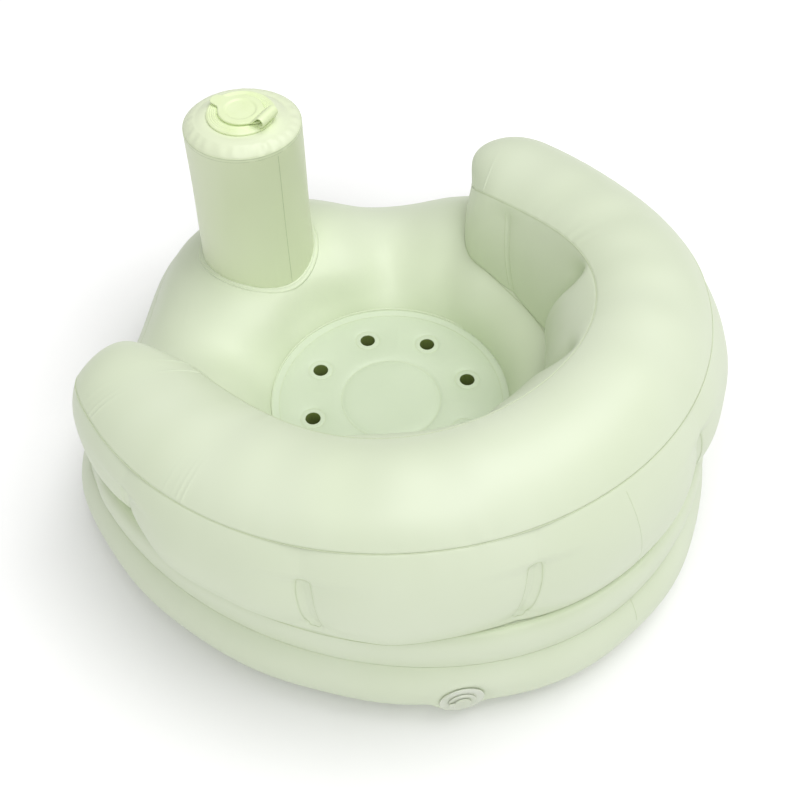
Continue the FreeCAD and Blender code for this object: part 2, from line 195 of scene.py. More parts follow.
# %% [markdown]
# Wrinkles need a steady kind of chance. A sum of cosines whose waves go a whole number of times
# round the ring is smooth, repeats without a jump and comes out the same on every run, because
# its phases come from a seeded generator.

# %% Angles, waves and bumps
WAVE_COUNT = 14
WAVE_CREST = 1.2


def series(T, cosines, sines=()):
    """A mean and cosine terms of rising order of the angle T, and sine terms from the first order."""
    T = np.radians(T)
    return (sum(term * np.cos(order * T) for order, term in enumerate(cosines))
            + sum(term * np.sin((order + 1) * T) for order, term in enumerate(sines)))


def waves(T, low, high, seed):
    """Between about -1 and 1: cosines with wave numbers from low to high and seeded phases."""
    chance = np.random.default_rng(seed)
    numbers = chance.integers(low, high, WAVE_COUNT)
    phases = chance.uniform(0, 2 * np.pi, WAVE_COUNT)
    sizes = chance.uniform(0.5, 1.0, WAVE_COUNT)
    total = sum(size * np.cos(number * np.radians(T) + phase)
                for number, phase, size in zip(numbers, phases, sizes))
    return total / np.sqrt(WAVE_COUNT / 2) / WAVE_CREST


def ease(value):
    """A smooth step from 0 to 1."""
    value = np.clip(value, 0, 1)
    return value * value * (3 - 2 * value)


def hump(value):
    """A raised cosine, 1 at 0 and 0 from 1 on."""
    return (1 + np.cos(np.pi * np.clip(np.abs(value), 0, 1))) / 2


def bell(value):
    """A narrow bump, 1 at 0, that fades as the square grows."""
    return np.exp(-np.square(value))


def squared(wave, power):
    """A sine or cosine drawn towards -1 and 1, as the outline of a superellipse needs it."""
    return np.sign(wave) * np.abs(wave) ** power


def from_back(T):
    """How many degrees an angle is away from the back, 0 to 180."""
    return np.abs((np.asarray(T) + 180) % 360 - 180)


def step_at(T, start, run):
    """A smooth step from 0 to 1 over so many degrees, where the angle from the back passes start."""
    return ease((from_back(T) - start) / run)


def polar(T, radius, height, centre=(0.0, 0.0)):
    """Points at an angle from the back, a radius from a centre and a height, as x, y, z."""
    T, radius, height = np.broadcast_arrays(np.radians(T), radius, height)
    return np.stack([centre[0] + radius * np.sin(T), centre[1] + radius * np.cos(T), height], -1)


def crowded(count, share=0.8):
    """Shares from 0 to 1 that crowd towards both ends, where a panel has its welds."""
    u = np.linspace(0, 1, count)
    return (u - share * np.sin(2 * np.pi * u) / (2 * np.pi))[None, :]


# %% [markdown]
# A welded seam pulls the film into a fine groove. Here and there the film beside it is a little
# too long for the seam, and puckers in a group of short waves that die out a finger's width
# away. The same treatment goes on every panel: find the outward direction from the section's
# own slope, then move the points along it.

# %% Section curves and welds
GROOVE, GROOVE_WIDTH = 0.35, 0.9
CALM, LIVELY, LIVELY_FROM, LIVELY_RUN = 0.10, 0.3, 0.35, 0.6
PUCKER_START, PLEAT_START = 2.0, 1.5
PLEAT, PLEAT_REACH = 0.6, 26.0
PLEAT_COUNT, PLEAT_STEP, PLEAT_STRAY, PLEAT_HALF = 5, 1.2, 0.45, 0.26
FLATTEST_BOW = 1e-3


def bow(start, end, sagitta, v):
    """A circular arc from start to end, (radius, height), standing out by sagitta on its right."""
    along, up = end[0] - start[0], end[1] - start[1]
    chord = np.maximum(np.hypot(along, up), TINY)
    sagitta = np.maximum(sagitta, FLATTEST_BOW)
    curve = (chord ** 2 / 4 + sagitta ** 2) / (2 * sagitta)
    out = np.sqrt(np.maximum(curve ** 2 - (chord * (v - 0.5)) ** 2, 0)) - (curve - sagitta)
    return start[0] + along * v + out * up / chord, start[1] + up * v - out * along / chord


def outward(radius, height):
    """The section's unit normal on the right of its course, and the distance run along it."""
    along, up = np.gradient(radius, axis=1), np.gradient(height, axis=1)
    length = np.maximum(np.hypot(along, up), TINY)
    steps = np.hypot(np.diff(radius, axis=1), np.diff(height, axis=1))
    run = np.concatenate([np.zeros_like(radius[:, :1]), np.cumsum(steps, 1)], 1)
    return up / length, -along / length, run


def pleats(T, place, seed):
    """A fan of narrow ridges round one angle, with seeded steps and strengths."""
    chance = np.random.default_rng(seed)
    steps = np.arange(PLEAT_COUNT) - (PLEAT_COUNT - 1) / 2
    angles = place + PLEAT_STEP * (steps + chance.uniform(-PLEAT_STRAY, PLEAT_STRAY, PLEAT_COUNT))
    strengths = chance.uniform(0.3, 1.0, PLEAT_COUNT) ** 3
    return sum(strength * bell((T - angle) / PLEAT_HALF) for angle, strength in zip(angles, strengths))


def weld(T, distance, seed, pucker=0.9, reach=11.0, low=40, high=95, places=()):
    """How far film moves near a seam: a fine groove, and groups of soft puckers where a slow wave
    is high, that fade over reach. At the given places there are narrow pleats, too."""
    group = CALM + LIVELY * ease((waves(T, 4, 14, seed + 1) - LIVELY_FROM) / LIVELY_RUN)
    fade = np.exp(-distance / reach) * (1 - bell(distance / PUCKER_START))
    move = pucker * group * fade * waves(T, low, high, seed) - GROOVE * bell(distance / GROOVE_WIDTH)
    for place in places:
        fan = PLEAT * pleats(T, place, seed)
        move = move + fan * bell(distance / PLEAT_REACH) * (1 - bell(distance / PLEAT_START))
    return move


def dressed(T, radius, height, first, last, extra=0.0, live=1.0):
    """A section moved outwards by the welds at its first and last edge, and by extra. Where live
    falls to 0 nothing moves."""
    out_r, out_z, run = outward(radius, height)
    move = extra + np.zeros_like(run)
    if first:
        move = move + weld(T, run, **first)
    if last:
        move = move + weld(T, run[:, -1:] - run, **last)
    move = move * live
    return radius + move * out_r, height + move * out_z


# %% [markdown]
# The finish is soft matte vinyl. Two node groups carry what every material here shares: a film
# grain with a cloudy tint and a fine tooth, and a mould grain for the stiffer valve pieces. The
# groups put out only what changes over the surface. Whatever is the same all over is set on the
# shader itself.

# %% Node groups
GRAIN_OUTPUTS = ("Tint", "Roughness", "Height")
FILM_SCALES = (11.0, 45.0, 1600.0)
MOULD_SCALES = (70.0, 900.0)
SLACK_HEIGHT = 1.5


def new_group(name, **inputs):
    """A group with these inputs, the sockets of its input node, and a place in the object's axes."""
    group = bpy.data.node_groups.new(name, "ShaderNodeTree")
    for label, default in inputs.items():
        socket = group.interface.new_socket(label, in_out="INPUT", socket_type="NodeSocketFloat")
        socket.default_value = default
    for label in GRAIN_OUTPUTS:
        group.interface.new_socket(label, in_out="OUTPUT", socket_type="NodeSocketFloat")
    place = group.nodes.new("ShaderNodeTexCoord").outputs["Object"]
    return group, group.nodes.new("NodeGroupInput").outputs, place


def feed(tree, node, values):
    """Fill a node's inputs: a socket is joined to its input, and anything else is the input's value."""
    for label, value in values.items():
        if isinstance(value, bpy.types.NodeSocket):
            tree.links.new(value, node.inputs[label])
        else:
            node.inputs[label].default_value = value
    return node


def put_out(group, *values):
    """Join the values to the group's outputs, in their order."""
    feed(group, group.nodes.new("NodeGroupOutput"), dict(zip(GRAIN_OUTPUTS, values)))
    return group


def noise(group, scale, detail, place):
    texture = group.nodes.new("ShaderNodeTexNoise")
    return feed(group, texture, {"Scale": scale, "Detail": detail, "Vector": place}).outputs["Fac"]


def remap(tree, value, low, high, in_low=0.3, in_high=0.7):
    given = {"Value": value, "From Min": in_low, "From Max": in_high, "To Min": low, "To Max": high}
    return feed(tree, tree.nodes.new("ShaderNodeMapRange"), given).outputs["Result"]


def combined(group, first, second, operation="ADD"):
    node = group.nodes.new("ShaderNodeMath")
    node.operation = operation
    return feed(group, node, {0: first, 1: second}).outputs["Value"]


def film_grain_group():
    """Tint: slow clouds. Roughness: clouds plus tooth. Height: fine tooth plus faint slackness."""
    group, given, place = new_group("film_grain", Rough=0.4, Tooth=1.0)
    clouds, slack, tooth = (noise(group, scale, 2.0, place) for scale in FILM_SCALES)
    rough = combined(group, given["Rough"], remap(group, clouds, -0.05, 0.05))
    rough = combined(group, rough, remap(group, tooth, -0.03, 0.03))
    fine = combined(group, tooth, given["Tooth"], "MULTIPLY")
    height = combined(group, fine, combined(group, slack, SLACK_HEIGHT, "MULTIPLY"))
    return put_out(group, remap(group, clouds, 0.0, 1.0), rough, height)


def mould_grain_group():
    """Tint: fine flow marks. Roughness and Height: the even, slightly pebbled skin of a moulding."""
    group, given, place = new_group("mould_grain", Rough=0.3)
    flow, pebble = (noise(group, scale, detail, place) for scale, detail in zip(MOULD_SCALES, (3.0, 1.0)))
    rough = combined(group, given["Rough"], remap(group, flow, -0.06, 0.06))
    return put_out(group, remap(group, flow, 0.0, 1.0), rough, pebble)


film_grain = film_grain_group()
mould_grain = mould_grain_group()
print("node groups:", film_grain.name, mould_grain.name)

# %% Materials
BUMP = 0.6
FILM_BUMP = 0.05


def linear(red, green, blue):
    """A screen colour, 0 to 255, as the linear values that a shader takes."""
    screen = np.array([red, green, blue]) / 255.0
    values = np.where(screen <= 0.04045, screen / 12.92, ((screen + 0.055) / 1.055) ** 2.4)
    return tuple(float(value) for value in values) + (1.0,)


def finish(name, group, light, deep, bump_mm, group_values, constants):
    """A Principled material: two tones mixed by the group's tint, its roughness and its height."""
    material = bpy.data.materials.new(name)
    material.use_nodes = True
    tree = material.node_tree
    grain = tree.nodes.new("ShaderNodeGroup")
    grain.node_tree = group
    varied = feed(tree, grain, group_values).outputs
    mix = tree.nodes.new("ShaderNodeMix")
    mix.data_type = "RGBA"
    feed(tree, mix, {"Factor": varied["Tint"]})
    for socket, tone in zip([s for s in mix.inputs if s.type == "RGBA"], (deep, light)):
        socket.default_value = linear(*tone)
    colour = [s for s in mix.outputs if s.type == "RGBA"][0]
    bump = feed(tree, tree.nodes.new("ShaderNodeBump"),
                {"Strength": BUMP, "Distance": bump_mm * MM, "Height": varied["Height"]})
    feed(tree, tree.nodes["Principled BSDF"], {"Base Color": colour, "Roughness": varied["Roughness"],
                                               "Normal": bump.outputs["Normal"], **constants})
    return material


def film_finish(name, light, deep, rough, tooth=0.5, shine=0.5):
    """A finish with the grain of film."""
    return finish(name, film_grain, light, deep, FILM_BUMP, {"Rough": rough, "Tooth": tooth},
                  {"Specular IOR Level": shine})


vinyl = film_finish("sage_vinyl", (222, 231, 206), (218, 228, 200), 0.42, shine=0.4)
weld_vinyl = film_finish("welded_vinyl", (211, 221, 191), (205, 216, 182), 0.34, 0.3, 0.45)
tie_vinyl = film_finish("tie_vinyl", (208, 220, 186), (202, 214, 178), 0.45)
# The seat pad's film is the sage film painted darker: painted shade for the pad deep in its well.
seat_vinyl_painted_shade = film_finish("seat_vinyl_painted_shade", (209, 220, 196), (204, 216, 190), 0.42, shine=0.4)
# The post's film is lighter and a little yellower than the sage film; the lightness is painted light for the
# bounce light its sleeve and head lack.
post_vinyl_painted_light = film_finish("post_vinyl_painted_light", (233, 241, 212), (230, 239, 206), 0.42, shine=0.4)
lime = finish("lime_moulding", mould_grain, (236, 248, 204), (231, 244, 195), 0.03,
              {"Rough": 0.33}, {"Specular IOR Level": 0.45})
clear = finish("clear_moulding", mould_grain, (240, 245, 230), (228, 236, 212), 0.02,
               {"Rough": 0.12}, {"Transmission Weight": 0.2, "IOR": 1.5})
foam = finish("pump_foam", mould_grain, (236, 228, 196), (222, 212, 176), 0.6, {"Rough": 0.9}, {})
flap_film = finish("flap_film", mould_grain, (214, 220, 208), (204, 212, 196), 0.02, {"Rough": 0.4}, {})
# The drain eyelets are painted dark olive: painted shade for the inside of the holes.
eyelet_painted_shade = film_finish("eyelet_painted_shade", (142, 158, 92), (126, 142, 76), 0.5)
for name, material in (("outlet_seat", flap_film), ("outlet_flap", flap_film),
                       ("stem_flap", flap_film), ("drain_eyelets", eyelet_painted_shade)):
    paint(nodes[name], material)
print("materials:", len(bpy.data.materials))

# %% [markdown]
# The base is a ring of film. Seen from above its outline is not a circle: it is a little egg
# shaped, and two dents make room for the legs. The outline is one formula of T, so every panel
# and every weld that meets the ring can ask for the same radius.

# %% The base ring's outline
SEAM_Z, TOP_Z = (float(corner[2]) for corner in node_box("base_top_panel"))
RING_TERMS = (256.5, -3.5, 7.5, 3.5)
FULL_BACK, FULL_RUN = 4.3, 28.0
DENT_DEPTH, DENT_ANGLE, DENT_HALF = 36.0, 144.0, 35.0
DIP_DEPTH, DIP_ANGLE, DIP_HALF = 18.0, 141.5, 22.0
SEAT_R = 102.0
WAIST_Z = 56.0
ROLL = 40.0
T_ring = np.arange(0, 360, 0.75)[:, None]


def ring_seam(T):
    """Radius of the ring's outer seam: a mean with three cosines, fuller at the back, less the
    two leg dents."""
    full = FULL_BACK * bell(from_back(T) / FULL_RUN)
    return series(T, RING_TERMS) + full - DENT_DEPTH * hump((from_back(T) - DENT_ANGLE) / DENT_HALF)


def ring_crest(T):
    """Height of the ring's top: level, with a dip where each leg lies."""
    return TOP_Z - DIP_DEPTH * hump((from_back(T) - DIP_ANGLE) / DIP_HALF)


def three_point_arc(first, second, third, v):
    """The circle's arc through three section points, as functions of the share v."""
    a, b, c = (np.array(point, float) for point in (first, second, third))
    rows = 2 * np.array([b - a, c - a])
    centre = np.linalg.solve(rows, np.array([b @ b - a @ a, c @ c - a @ a]))
    start, middle, end = (math.atan2(*(p - centre)[::-1]) for p in (a, b, c))
    turn = (end - start) % (2 * np.pi)
    if (middle - start) % (2 * np.pi) > turn:
        turn -= 2 * np.pi
    size = np.hypot(*(a - centre))
    angle = start + turn * v
    return centre[0] + size * np.cos(angle), centre[1] + size * np.sin(angle)


seam_r = ring_seam(T_ring)
print("base seam: radius", round(float(seam_r.min()), 1), "to", round(float(seam_r.max()), 1), "mm")

# %% [markdown]
# The rear valve and the post stand on the ring, so their places are needed before its film is
# made. They are read from the construction model: an axis from a joint, a face from a node.

# %% Places of the post and the rear valve
low, high = node_box("post_sleeve")
POST = (low + high)[:2] / 2
POST_R = float(high[0] - low[0]) / 2
HEAD_SEAM = float(high[2])
HEAD_TOP = float(node_box("post_top_disc")[1][2])
VALVE_OUT = np.array(joints["valve_stem_pop"]["axis"])
VALVE_AXES = np.stack([[VALVE_OUT[1], -VALVE_OUT[0], 0.0], [0.0, 0.0, -1.0], VALVE_OUT])
COLLAR_R, COLLAR_THICK, COLLAR_BORE = 17.0, 1.2, 7.6


def valve_place():
    """The middle of the collar's back face: its reach along the axis, less its thickness."""
    corners = np.array([vertex.co for vertex in nodes["valve_collar"].data.vertices]) / MM
    face = (corners @ VALVE_OUT).max() - COLLAR_THICK
    return face * VALVE_OUT + np.array([0.0, 0.0, (corners[:, 2].min() + corners[:, 2].max()) / 2])


VALVE = valve_place()
print("post at", POST.round(1), "valve at", VALVE.round(1))

# %% [markdown]
# Three film panels make the ring. The lower wall swells below the seam and turns under to the
# floor. The top panel climbs from the seam, runs level under the backrest and rolls over into
# the seat well. In front, where nothing stands on it, it is free to swell into one round arc
# that dips under the legs. The bottom sheet lies flat and turns up to meet the seat from below.

# %% Base panels
FLOOR_EDGE, WIDEST = (-30.0, 0.0), (11.5, 34.0)
WELL_FOOT, WELL_TOP, WELL_SHARES = 30.0, 28.0, (0.02, 0.54)
SHOULDER, WALL_SWELL, OVER_TURN = 5.0, 4.0, 1.06
LEVEL_FROM, OVER_FROM, OVER_SHARE = 0.30, 0.55, 0.48
FRONT = (99.0, 25.0)
LOWER_SLACK, TOP_SLACK = 0.7, 0.6
POST_SPREAD, POST_PULL, POST_PULL_RUN = 75.0, 0.6, 20.0
FLAT_MARGIN, FLAT_RUN, VALVE_DEPTH = 9.0, 8.0, -60.0
DRAWN_EDGE, DRAWN_BORE = COLLAR_R - 2.0, COLLAR_BORE + 1.5
MID_RING = polar(T_ring, (seam_r + SEAT_R) / 2, WAIST_Z)


def in_valve(points):
    """Points in the valve's own axes, and how far each is from the valve's axis."""
    local = (points - VALVE) @ VALVE_AXES.T
    return local, np.hypot(local[..., 0], local[..., 1])


def round_valve(points):
    """Film at the valve: pressed flat on the collar's back, and drawn aside from its bore."""
    local, away = in_valve(points)
    near = ease((COLLAR_R + FLAT_MARGIN - away) / FLAT_RUN) * (local[..., 2] > VALVE_DEPTH)
    local[..., 2] = local[..., 2] * (1 - near) - FILM * near
    aside = np.where(away < DRAWN_EDGE, DRAWN_BORE + away * (1 - DRAWN_BORE / DRAWN_EDGE), away)
    stretch = np.where(local[..., 2] > VALVE_DEPTH, aside / np.maximum(away, TINY), 1.0)
    local[..., :2] *= stretch[..., None]
    return VALVE + local @ VALVE_AXES


def without_bore(points, faces):
    """The faces that do not lie across the valve's bore."""
    local, away = in_valve(points[faces].mean(1))
    return points, faces[(away > COLLAR_BORE) | (local[:, 2] < VALVE_DEPTH)]


def lower_wall():
    """An arc through the floor edge, the widest place and the seam, carried round the outline."""
    v = crowded(70)
    along, height = three_point_arc(FLOOR_EDGE, WIDEST, (0.0, SEAM_Z), v)
    radius, height = np.broadcast_arrays(seam_r + along, height)
    slack = LOWER_SLACK * waves(T_ring, 4, 22, 11) * np.sin(np.pi * v)
    radius, height = dressed(T_ring, radius, height, None, dict(seed=21, pucker=0.7), slack)
    return round_valve(polar(T_ring, radius, np.maximum(height, 0.0)))


def top_section(T):
    """Back: a steep wall, a level top and a quarter oval. Front: one arc from seam to well. The
    angle mixes the two, point by point."""
    seam = ring_seam(T)
    front = step_at(T, *FRONT)
    climb = crowded(26)
    turn = climb * np.pi / 2
    level = np.linspace(0, 1, 20)[None, 1:-1]
    over = np.linspace(0, OVER_TURN, 36)[None, :] * np.pi / 2
    wall_r = seam - SHOULDER * (1 - np.cos(turn)) + WALL_SWELL * np.sin(2 * turn)
    wall_z = SEAM_Z + (TOP_Z - SEAM_Z) * np.sin(turn)
    level_r = (seam - SHOULDER) * (1 - level) + (SEAT_R + ROLL) * level
    over_r = SEAT_R + ROLL * (1 - np.sin(over))
    over_z = WAIST_Z + (TOP_Z - WAIST_Z) * np.cos(over)
    back_r = np.concatenate([wall_r, level_r, over_r + 0 * seam], 1)
    back_z = np.concatenate([wall_z + 0 * seam, TOP_Z + 0 * level_r, over_z + 0 * seam], 1)
    share = np.concatenate([LEVEL_FROM * climb, LEVEL_FROM + (OVER_FROM - LEVEL_FROM) * level,
                            OVER_FROM + OVER_SHARE * over / over.max()], 1)
    crest = ring_crest(T) - (SEAM_Z + WAIST_Z) / 2
    front_r, front_z = bow((seam, SEAM_Z), (SEAT_R, WAIST_Z), crest, share)
    return back_r * (1 - front) + front_r * front, back_z * (1 - front) + front_z * front


def eased_at_post(points):
    """Heights drawn part of the way to the ring's level near the post, where its foot holds the film."""
    height = points[..., 2]
    away = np.hypot(points[..., 0] - POST[0], points[..., 1] - POST[1])
    pull = POST_PULL * bell(away / POST_SPREAD) * ease((height - SEAM_Z) / POST_PULL_RUN)
    return height * (1 - pull) + TOP_Z * pull


def ring_height(T, radius):
    """Height of the ring's top at an angle and a radius, read between the points of its section."""
    section_r, section_z = top_section(T)
    rows = np.arange(len(section_r))[:, None]
    beyond = section_r > radius
    last = section_r.shape[1] - 1 - np.argmax(beyond[:, ::-1], 1)[:, None]
    column = np.where(beyond.any(1, keepdims=True), last, np.argmax(section_r, 1)[:, None])
    column = np.clip(column, 0, section_r.shape[1] - 2)
    before, after = section_r[rows, column], section_r[rows, column + 1]
    share = np.clip((before - radius) / (before - after), 0, 1)
    height = section_z[rows, column] * (1 - share) + section_z[rows, column + 1] * share
    return eased_at_post(polar(T, radius, height))


def top_panel():
    """The top section with its weld and a little slackness in front, carried round the outline."""
    radius, height = top_section(T_ring)
    swing = np.sin(np.linspace(0, np.pi, radius.shape[1]))
    slack = TOP_SLACK * waves(T_ring, 4, 18, 12) * step_at(T_ring, *FRONT) * swing
    radius, height = dressed(T_ring, radius, height, dict(seed=31, pucker=0.6), None, slack)
    points = polar(T_ring, radius, height)
    points[..., 2] = eased_at_post(points)
    return points


def bottom_sheet():
    """Level from the floor edge to the well, then an arc up to the waist."""
    floor = np.linspace(0, 1, 24)[None, :]
    well = (SEAT_R + WELL_FOOT, 0.0)
    floor_r = (seam_r + FLOOR_EDGE[0]) * (1 - floor) + well[0] * floor
    inner_r, inner_z = three_point_arc(well, (SEAT_R, WAIST_Z), (SEAT_R + WELL_TOP, TOP_Z),
                                       np.linspace(*WELL_SHARES, 34)[None, :])
    radius = np.concatenate([floor_r, inner_r + 0 * seam_r], 1)
    height = np.concatenate([0 * floor_r, inner_z + 0 * seam_r], 1)
    return polar(T_ring, radius, height)


lower_grid = lower_wall()
lower_part = without_bore(*grid_part(lower_grid, MID_RING, True))
top_part, bottom_part = (grid_part(grid, MID_RING, True) for grid in (top_panel(), bottom_sheet()))
for name, part, node in (("base_lower_wall", lower_part, "base_lower_panel"),
                         ("base_top_film", top_part, "base_top_panel"),
                         ("base_bottom_film", bottom_part, "base_bottom_sheet")):
    film_piece(name, [part], node, vinyl)

# %% [markdown]
# The backrest is a C-shaped cell that stands on the ring. Its top panel is crowned between two
# seams that rise towards the back. Its walls would swell into a round tube, but ties inside hold
# them together, so each wall is a row of lobes. Outside, each tie shows as a narrow flat band.
# Inside, the lobes of the back press over the ties and leave deep folds, while the arms stay
# nearly flat. The arms end in a half-round: the section's width closes like a circle.

# %% The backrest's sections
LEFT_END, RIGHT_END = 119.0, -116.5
ARM_ROUND, ARM_TIP_DROP, ARM_CALM = 14.0, 0.24, 0.35
ARM_LEAN, LEAN_FROM, LEAN_RUN, LEAN_DROP = 6.0, 50.0, 45.0, 0.6
OUTER_SEAM = (((249.0, -12.0, 8.7),), ((186.7, 23.1, 4.2),))
INNER_SEAM = (((174.0, -33.1, 27.0, -7.6), (4.3, -1.6, 2.1)), ((188.1, 38.8, 3.1),))
BACK_FOOT_IN, SIDE_FOOT_OUT, ARM_FOOT_IN, INNER_FOOT_IN = 7.0, 1.0, 9.0, 16.0
SIDE_FOOT, ARM_FOOT, FOOT_SPARE = (20.0, 22.0), (78.0, 14.0), 0.3
OUTER_TIES = ((-92.0, 0.0), (-52.0, -2.0), (-20.0, 2.3), (20.0, -2.3), (52.0, 2.0), (89.0, 0.0))
INNER_TIES = ((18.0, 4.0, 16.0, 11.0), (55.0, 3.5, 15.0, 8.0), (94.0, -12.0, 2.5, 12.0))
PLEATS = {"crown_outer": (77.5, 103.5), "crown_inner": (-112.0, 106.0), "inner_wall": (-112.5,)}
BAND_ROWS, PLEAT_ROWS = np.linspace(-3.0, 3.0, 27), np.linspace(-4.6, 4.6, 80)


def backrest_rows():
    """Angles of the rows: even, closer at the bands of the ties and at the pleats, and closing up
    round the ends."""
    even = np.linspace(RIGHT_END + ARM_ROUND, LEFT_END - ARM_ROUND, 400)
    close = [angle + lean / 2 + BAND_ROWS for angle, lean in OUTER_TIES]
    close += [place + PLEAT_ROWS for place in sum(PLEATS.values(), ())]
    closing = ARM_ROUND * (1 - np.sin(np.linspace(0, np.pi / 2, 46))[1:] ** (2 / 3))
    rows = np.concatenate([RIGHT_END + closing, even, *close, LEFT_END - closing])
    return np.unique(rows.round(3))[:, None]


T_back = backrest_rows()
arm_end = np.where(T_back > 0, LEFT_END, -RIGHT_END)
past = np.clip((from_back(T_back) - arm_end + ARM_ROUND) / ARM_ROUND, 0, 1)
width = np.cbrt(1 - past ** 3)
live = ease(width / ARM_CALM)


def narrowed(value, middle):
    """A value drawn to the section's middle as an arm's end closes."""
    return middle + width * (value - middle)


def backrest_corners():
    """Outer foot, outer seam, inner seam and inner foot as (radius, height) for every row. The
    seams come from cosines, the feet stand on the ring, and the arm on the -X side leans in."""
    lean = ARM_LEAN * ease((-T_back - LEAN_FROM) / LEAN_RUN)
    foot_in = BACK_FOOT_IN - (BACK_FOOT_IN + SIDE_FOOT_OUT) * step_at(T_back, *SIDE_FOOT)
    foot_in = foot_in + (ARM_FOOT_IN + SIDE_FOOT_OUT) * step_at(T_back, *ARM_FOOT)
    farthest = top_section(T_back)[0].max(1, keepdims=True) - FOOT_SPARE
    outer, inner = ([series(T_back, *terms) for terms in seam] for seam in (OUTER_SEAM, INNER_SEAM))
    outer = [outer[0] - lean, outer[1] - LEAN_DROP * lean]
    feet = [np.minimum(ring_seam(T_back) - foot_in - lean, farthest), inner[0] - INNER_FOOT_IN]
    middle = (feet[0] + feet[1]) / 2
    raised = 1 - ARM_TIP_DROP * past ** 3
    level = TOP_Z + raised * ((outer[1] + inner[1]) / 2 - TOP_Z)
    seams = [(narrowed(radius, middle), narrowed(TOP_Z + raised * (height - TOP_Z), level))
             for radius, height in (outer, inner)]
    feet = [narrowed(radius, middle) for radius in feet]
    feet = [(radius, ring_height(T_back, radius)) for radius in feet]
    return (feet[0], seams[0], seams[1], feet[1]), middle


(outer_foot, outer_seam, inner_seam, inner_foot), back_middle = backrest_corners()
BACK_HEART = polar(T_back, back_middle, (outer_seam[1] + inner_seam[1]) / 4 + TOP_Z / 2)
print("backrest:", len(T_back), "rows, seams up to", round(float(inner_seam[1].max()), 1), "mm")

# %% [markdown]
# A tie's mark is worked out from the distance to its line along the wall. Outside it is a broad
# dip with a flat band in it. Inside it is a V that is sharpest at its bottom.

# %% Ties and arm ends
BAND_LOW, BAND_HIGH, BAND_EASE = 0.06, 0.74, 0.05
BAND_HALF, BAND_SOFT, BAND_SINK = 5.5, 0.8, 0.9
DIP_LOW, DIP_ALL, DIP_REACH, DIP_END = 5.0, 1.8, 20.0, 60.0
FOLD_START, FOLD_LEVEL = 0.2, 0.3


def outer_pull(v):
    """A broad dip at each tie, deepest low down, and a flat band between two heights."""
    run = 2 * BAND_EASE
    window = ease((v - BAND_LOW + BAND_EASE) / run) * ease((BAND_HIGH + BAND_EASE - v) / run)
    move = 0
    for angle, lean in OUTER_TIES:
        away = np.abs(T_back - angle - lean * v) * np.pi / 180 * outer_seam[0]
        dip = np.exp(-away / DIP_REACH) * bell(away / DIP_END)
        band = ease((BAND_HALF + BAND_SOFT - away) / (2 * BAND_SOFT))
        move = move - window * (DIP_LOW * dip + BAND_SINK * band) - DIP_ALL * dip
    return move


def inner_pull(v):
    """Folds that start below the seam and lean with their tie, mirrored on both sides."""
    window = ease(v / FOLD_START)
    move = 0
    for angle, lean, depth, reach in INNER_TIES:
        away = np.abs(from_back(T_back) - angle - lean * (v - FOLD_LEVEL)) * np.pi / 180 * inner_seam[0]
        move = move - depth * window * np.exp(-away / reach)
    return move


def end_push(v, size):
    """Extra angle that lets an arm's end wall swell forwards, in degrees."""
    return np.sign(T_back) * past ** 2 * np.sin(np.pi * v) * np.degrees(size / back_middle)


# %% [markdown]
# With the corners and the pulls in hand, each of the three panels is one circular arc between
# two welds, moved by its wrinkles. That is the shape that air gives to a film that cannot stretch.

# %% Backrest panels
CROWN_RISE, CROWN_CLOSING, CROWN_STEEPEST, CROWN_PUSH = 19.0, 0.6, 0.48, 15.0
OUTER_SWELL, OUTER_LESS, OUTER_FADE = 14.0, 5.0, (85.0, 25.0)
INNER_SWELL, INNER_MORE, INNER_FADE = 7.0, 15.0, (49.0, 9.0)
WALL_PUSH = 0.8
across = crowded(64)


def back_panel(start, end, swell, pull, slack, push, first, last):
    """An arc from one weld to the next, moved by its pull and by slack waves, (size, high, seed)."""
    size, high, seed = slack
    radius, height = bow(start, end, swell, across)
    move = pull + size * waves(T_back, 5, high, seed) * np.sin(np.pi * across)
    radius, height = dressed(T_back, radius, height, first, last, move, live)
    return polar(T_back + push, radius, height)


chord = np.hypot(outer_seam[0] - inner_seam[0], outer_seam[1] - inner_seam[1])
crown_swell = np.minimum(CROWN_RISE * width ** CROWN_CLOSING, CROWN_STEEPEST * chord)
outer_swell = (OUTER_SWELL - OUTER_LESS * step_at(T_back, *OUTER_FADE)) * width
inner_swell = (INNER_SWELL + INNER_MORE * (1 - step_at(T_back, *INNER_FADE))) * width
crown_grid = back_panel(outer_seam, inner_seam, crown_swell, 0.0, (0.6, 26, 41),
                        end_push(across, CROWN_PUSH) * width, dict(seed=51, places=PLEATS["crown_outer"]),
                        dict(seed=52, places=PLEATS["crown_inner"]))
outer_grid = back_panel(outer_foot, outer_seam, outer_swell, outer_pull(across), (0.7, 30, 42),
                        end_push(across, WALL_PUSH), dict(seed=61, pucker=0.5), dict(seed=62, pucker=0.7))
inner_grid = back_panel(inner_seam, inner_foot, inner_swell, inner_pull(across), (0.6, 30, 43),
                        end_push(across, WALL_PUSH), dict(seed=71, pucker=0.8, places=PLEATS["inner_wall"]),
                        dict(seed=72, pucker=0.5))
for name, grid, node in (("backrest_crown", crown_grid, "backrest_top_panel"),
                         ("backrest_outside", outer_grid, "backrest_outer_wall"),
                         ("backrest_inside", inner_grid, "backrest_inner_wall")):
    film_piece(name, [grid_part(grid, BACK_HEART)], node, vinyl)

# %% [markdown]
# A tie is a sheet of film between the two walls. Its edges lie on the walls' own grids, so it
# reaches exactly from the band outside to the fold inside. Reading between grid points needs only
# the row and the column with their fractions.

# %% Ties inside the backrest
TIE_SHARES = np.linspace(0.12, 0.85, 20)
TIE_REACH = np.linspace(0.04, 0.96, 9)[None, :, None]
BEHIND_TIE = [0.0, 400.0, 0.0]


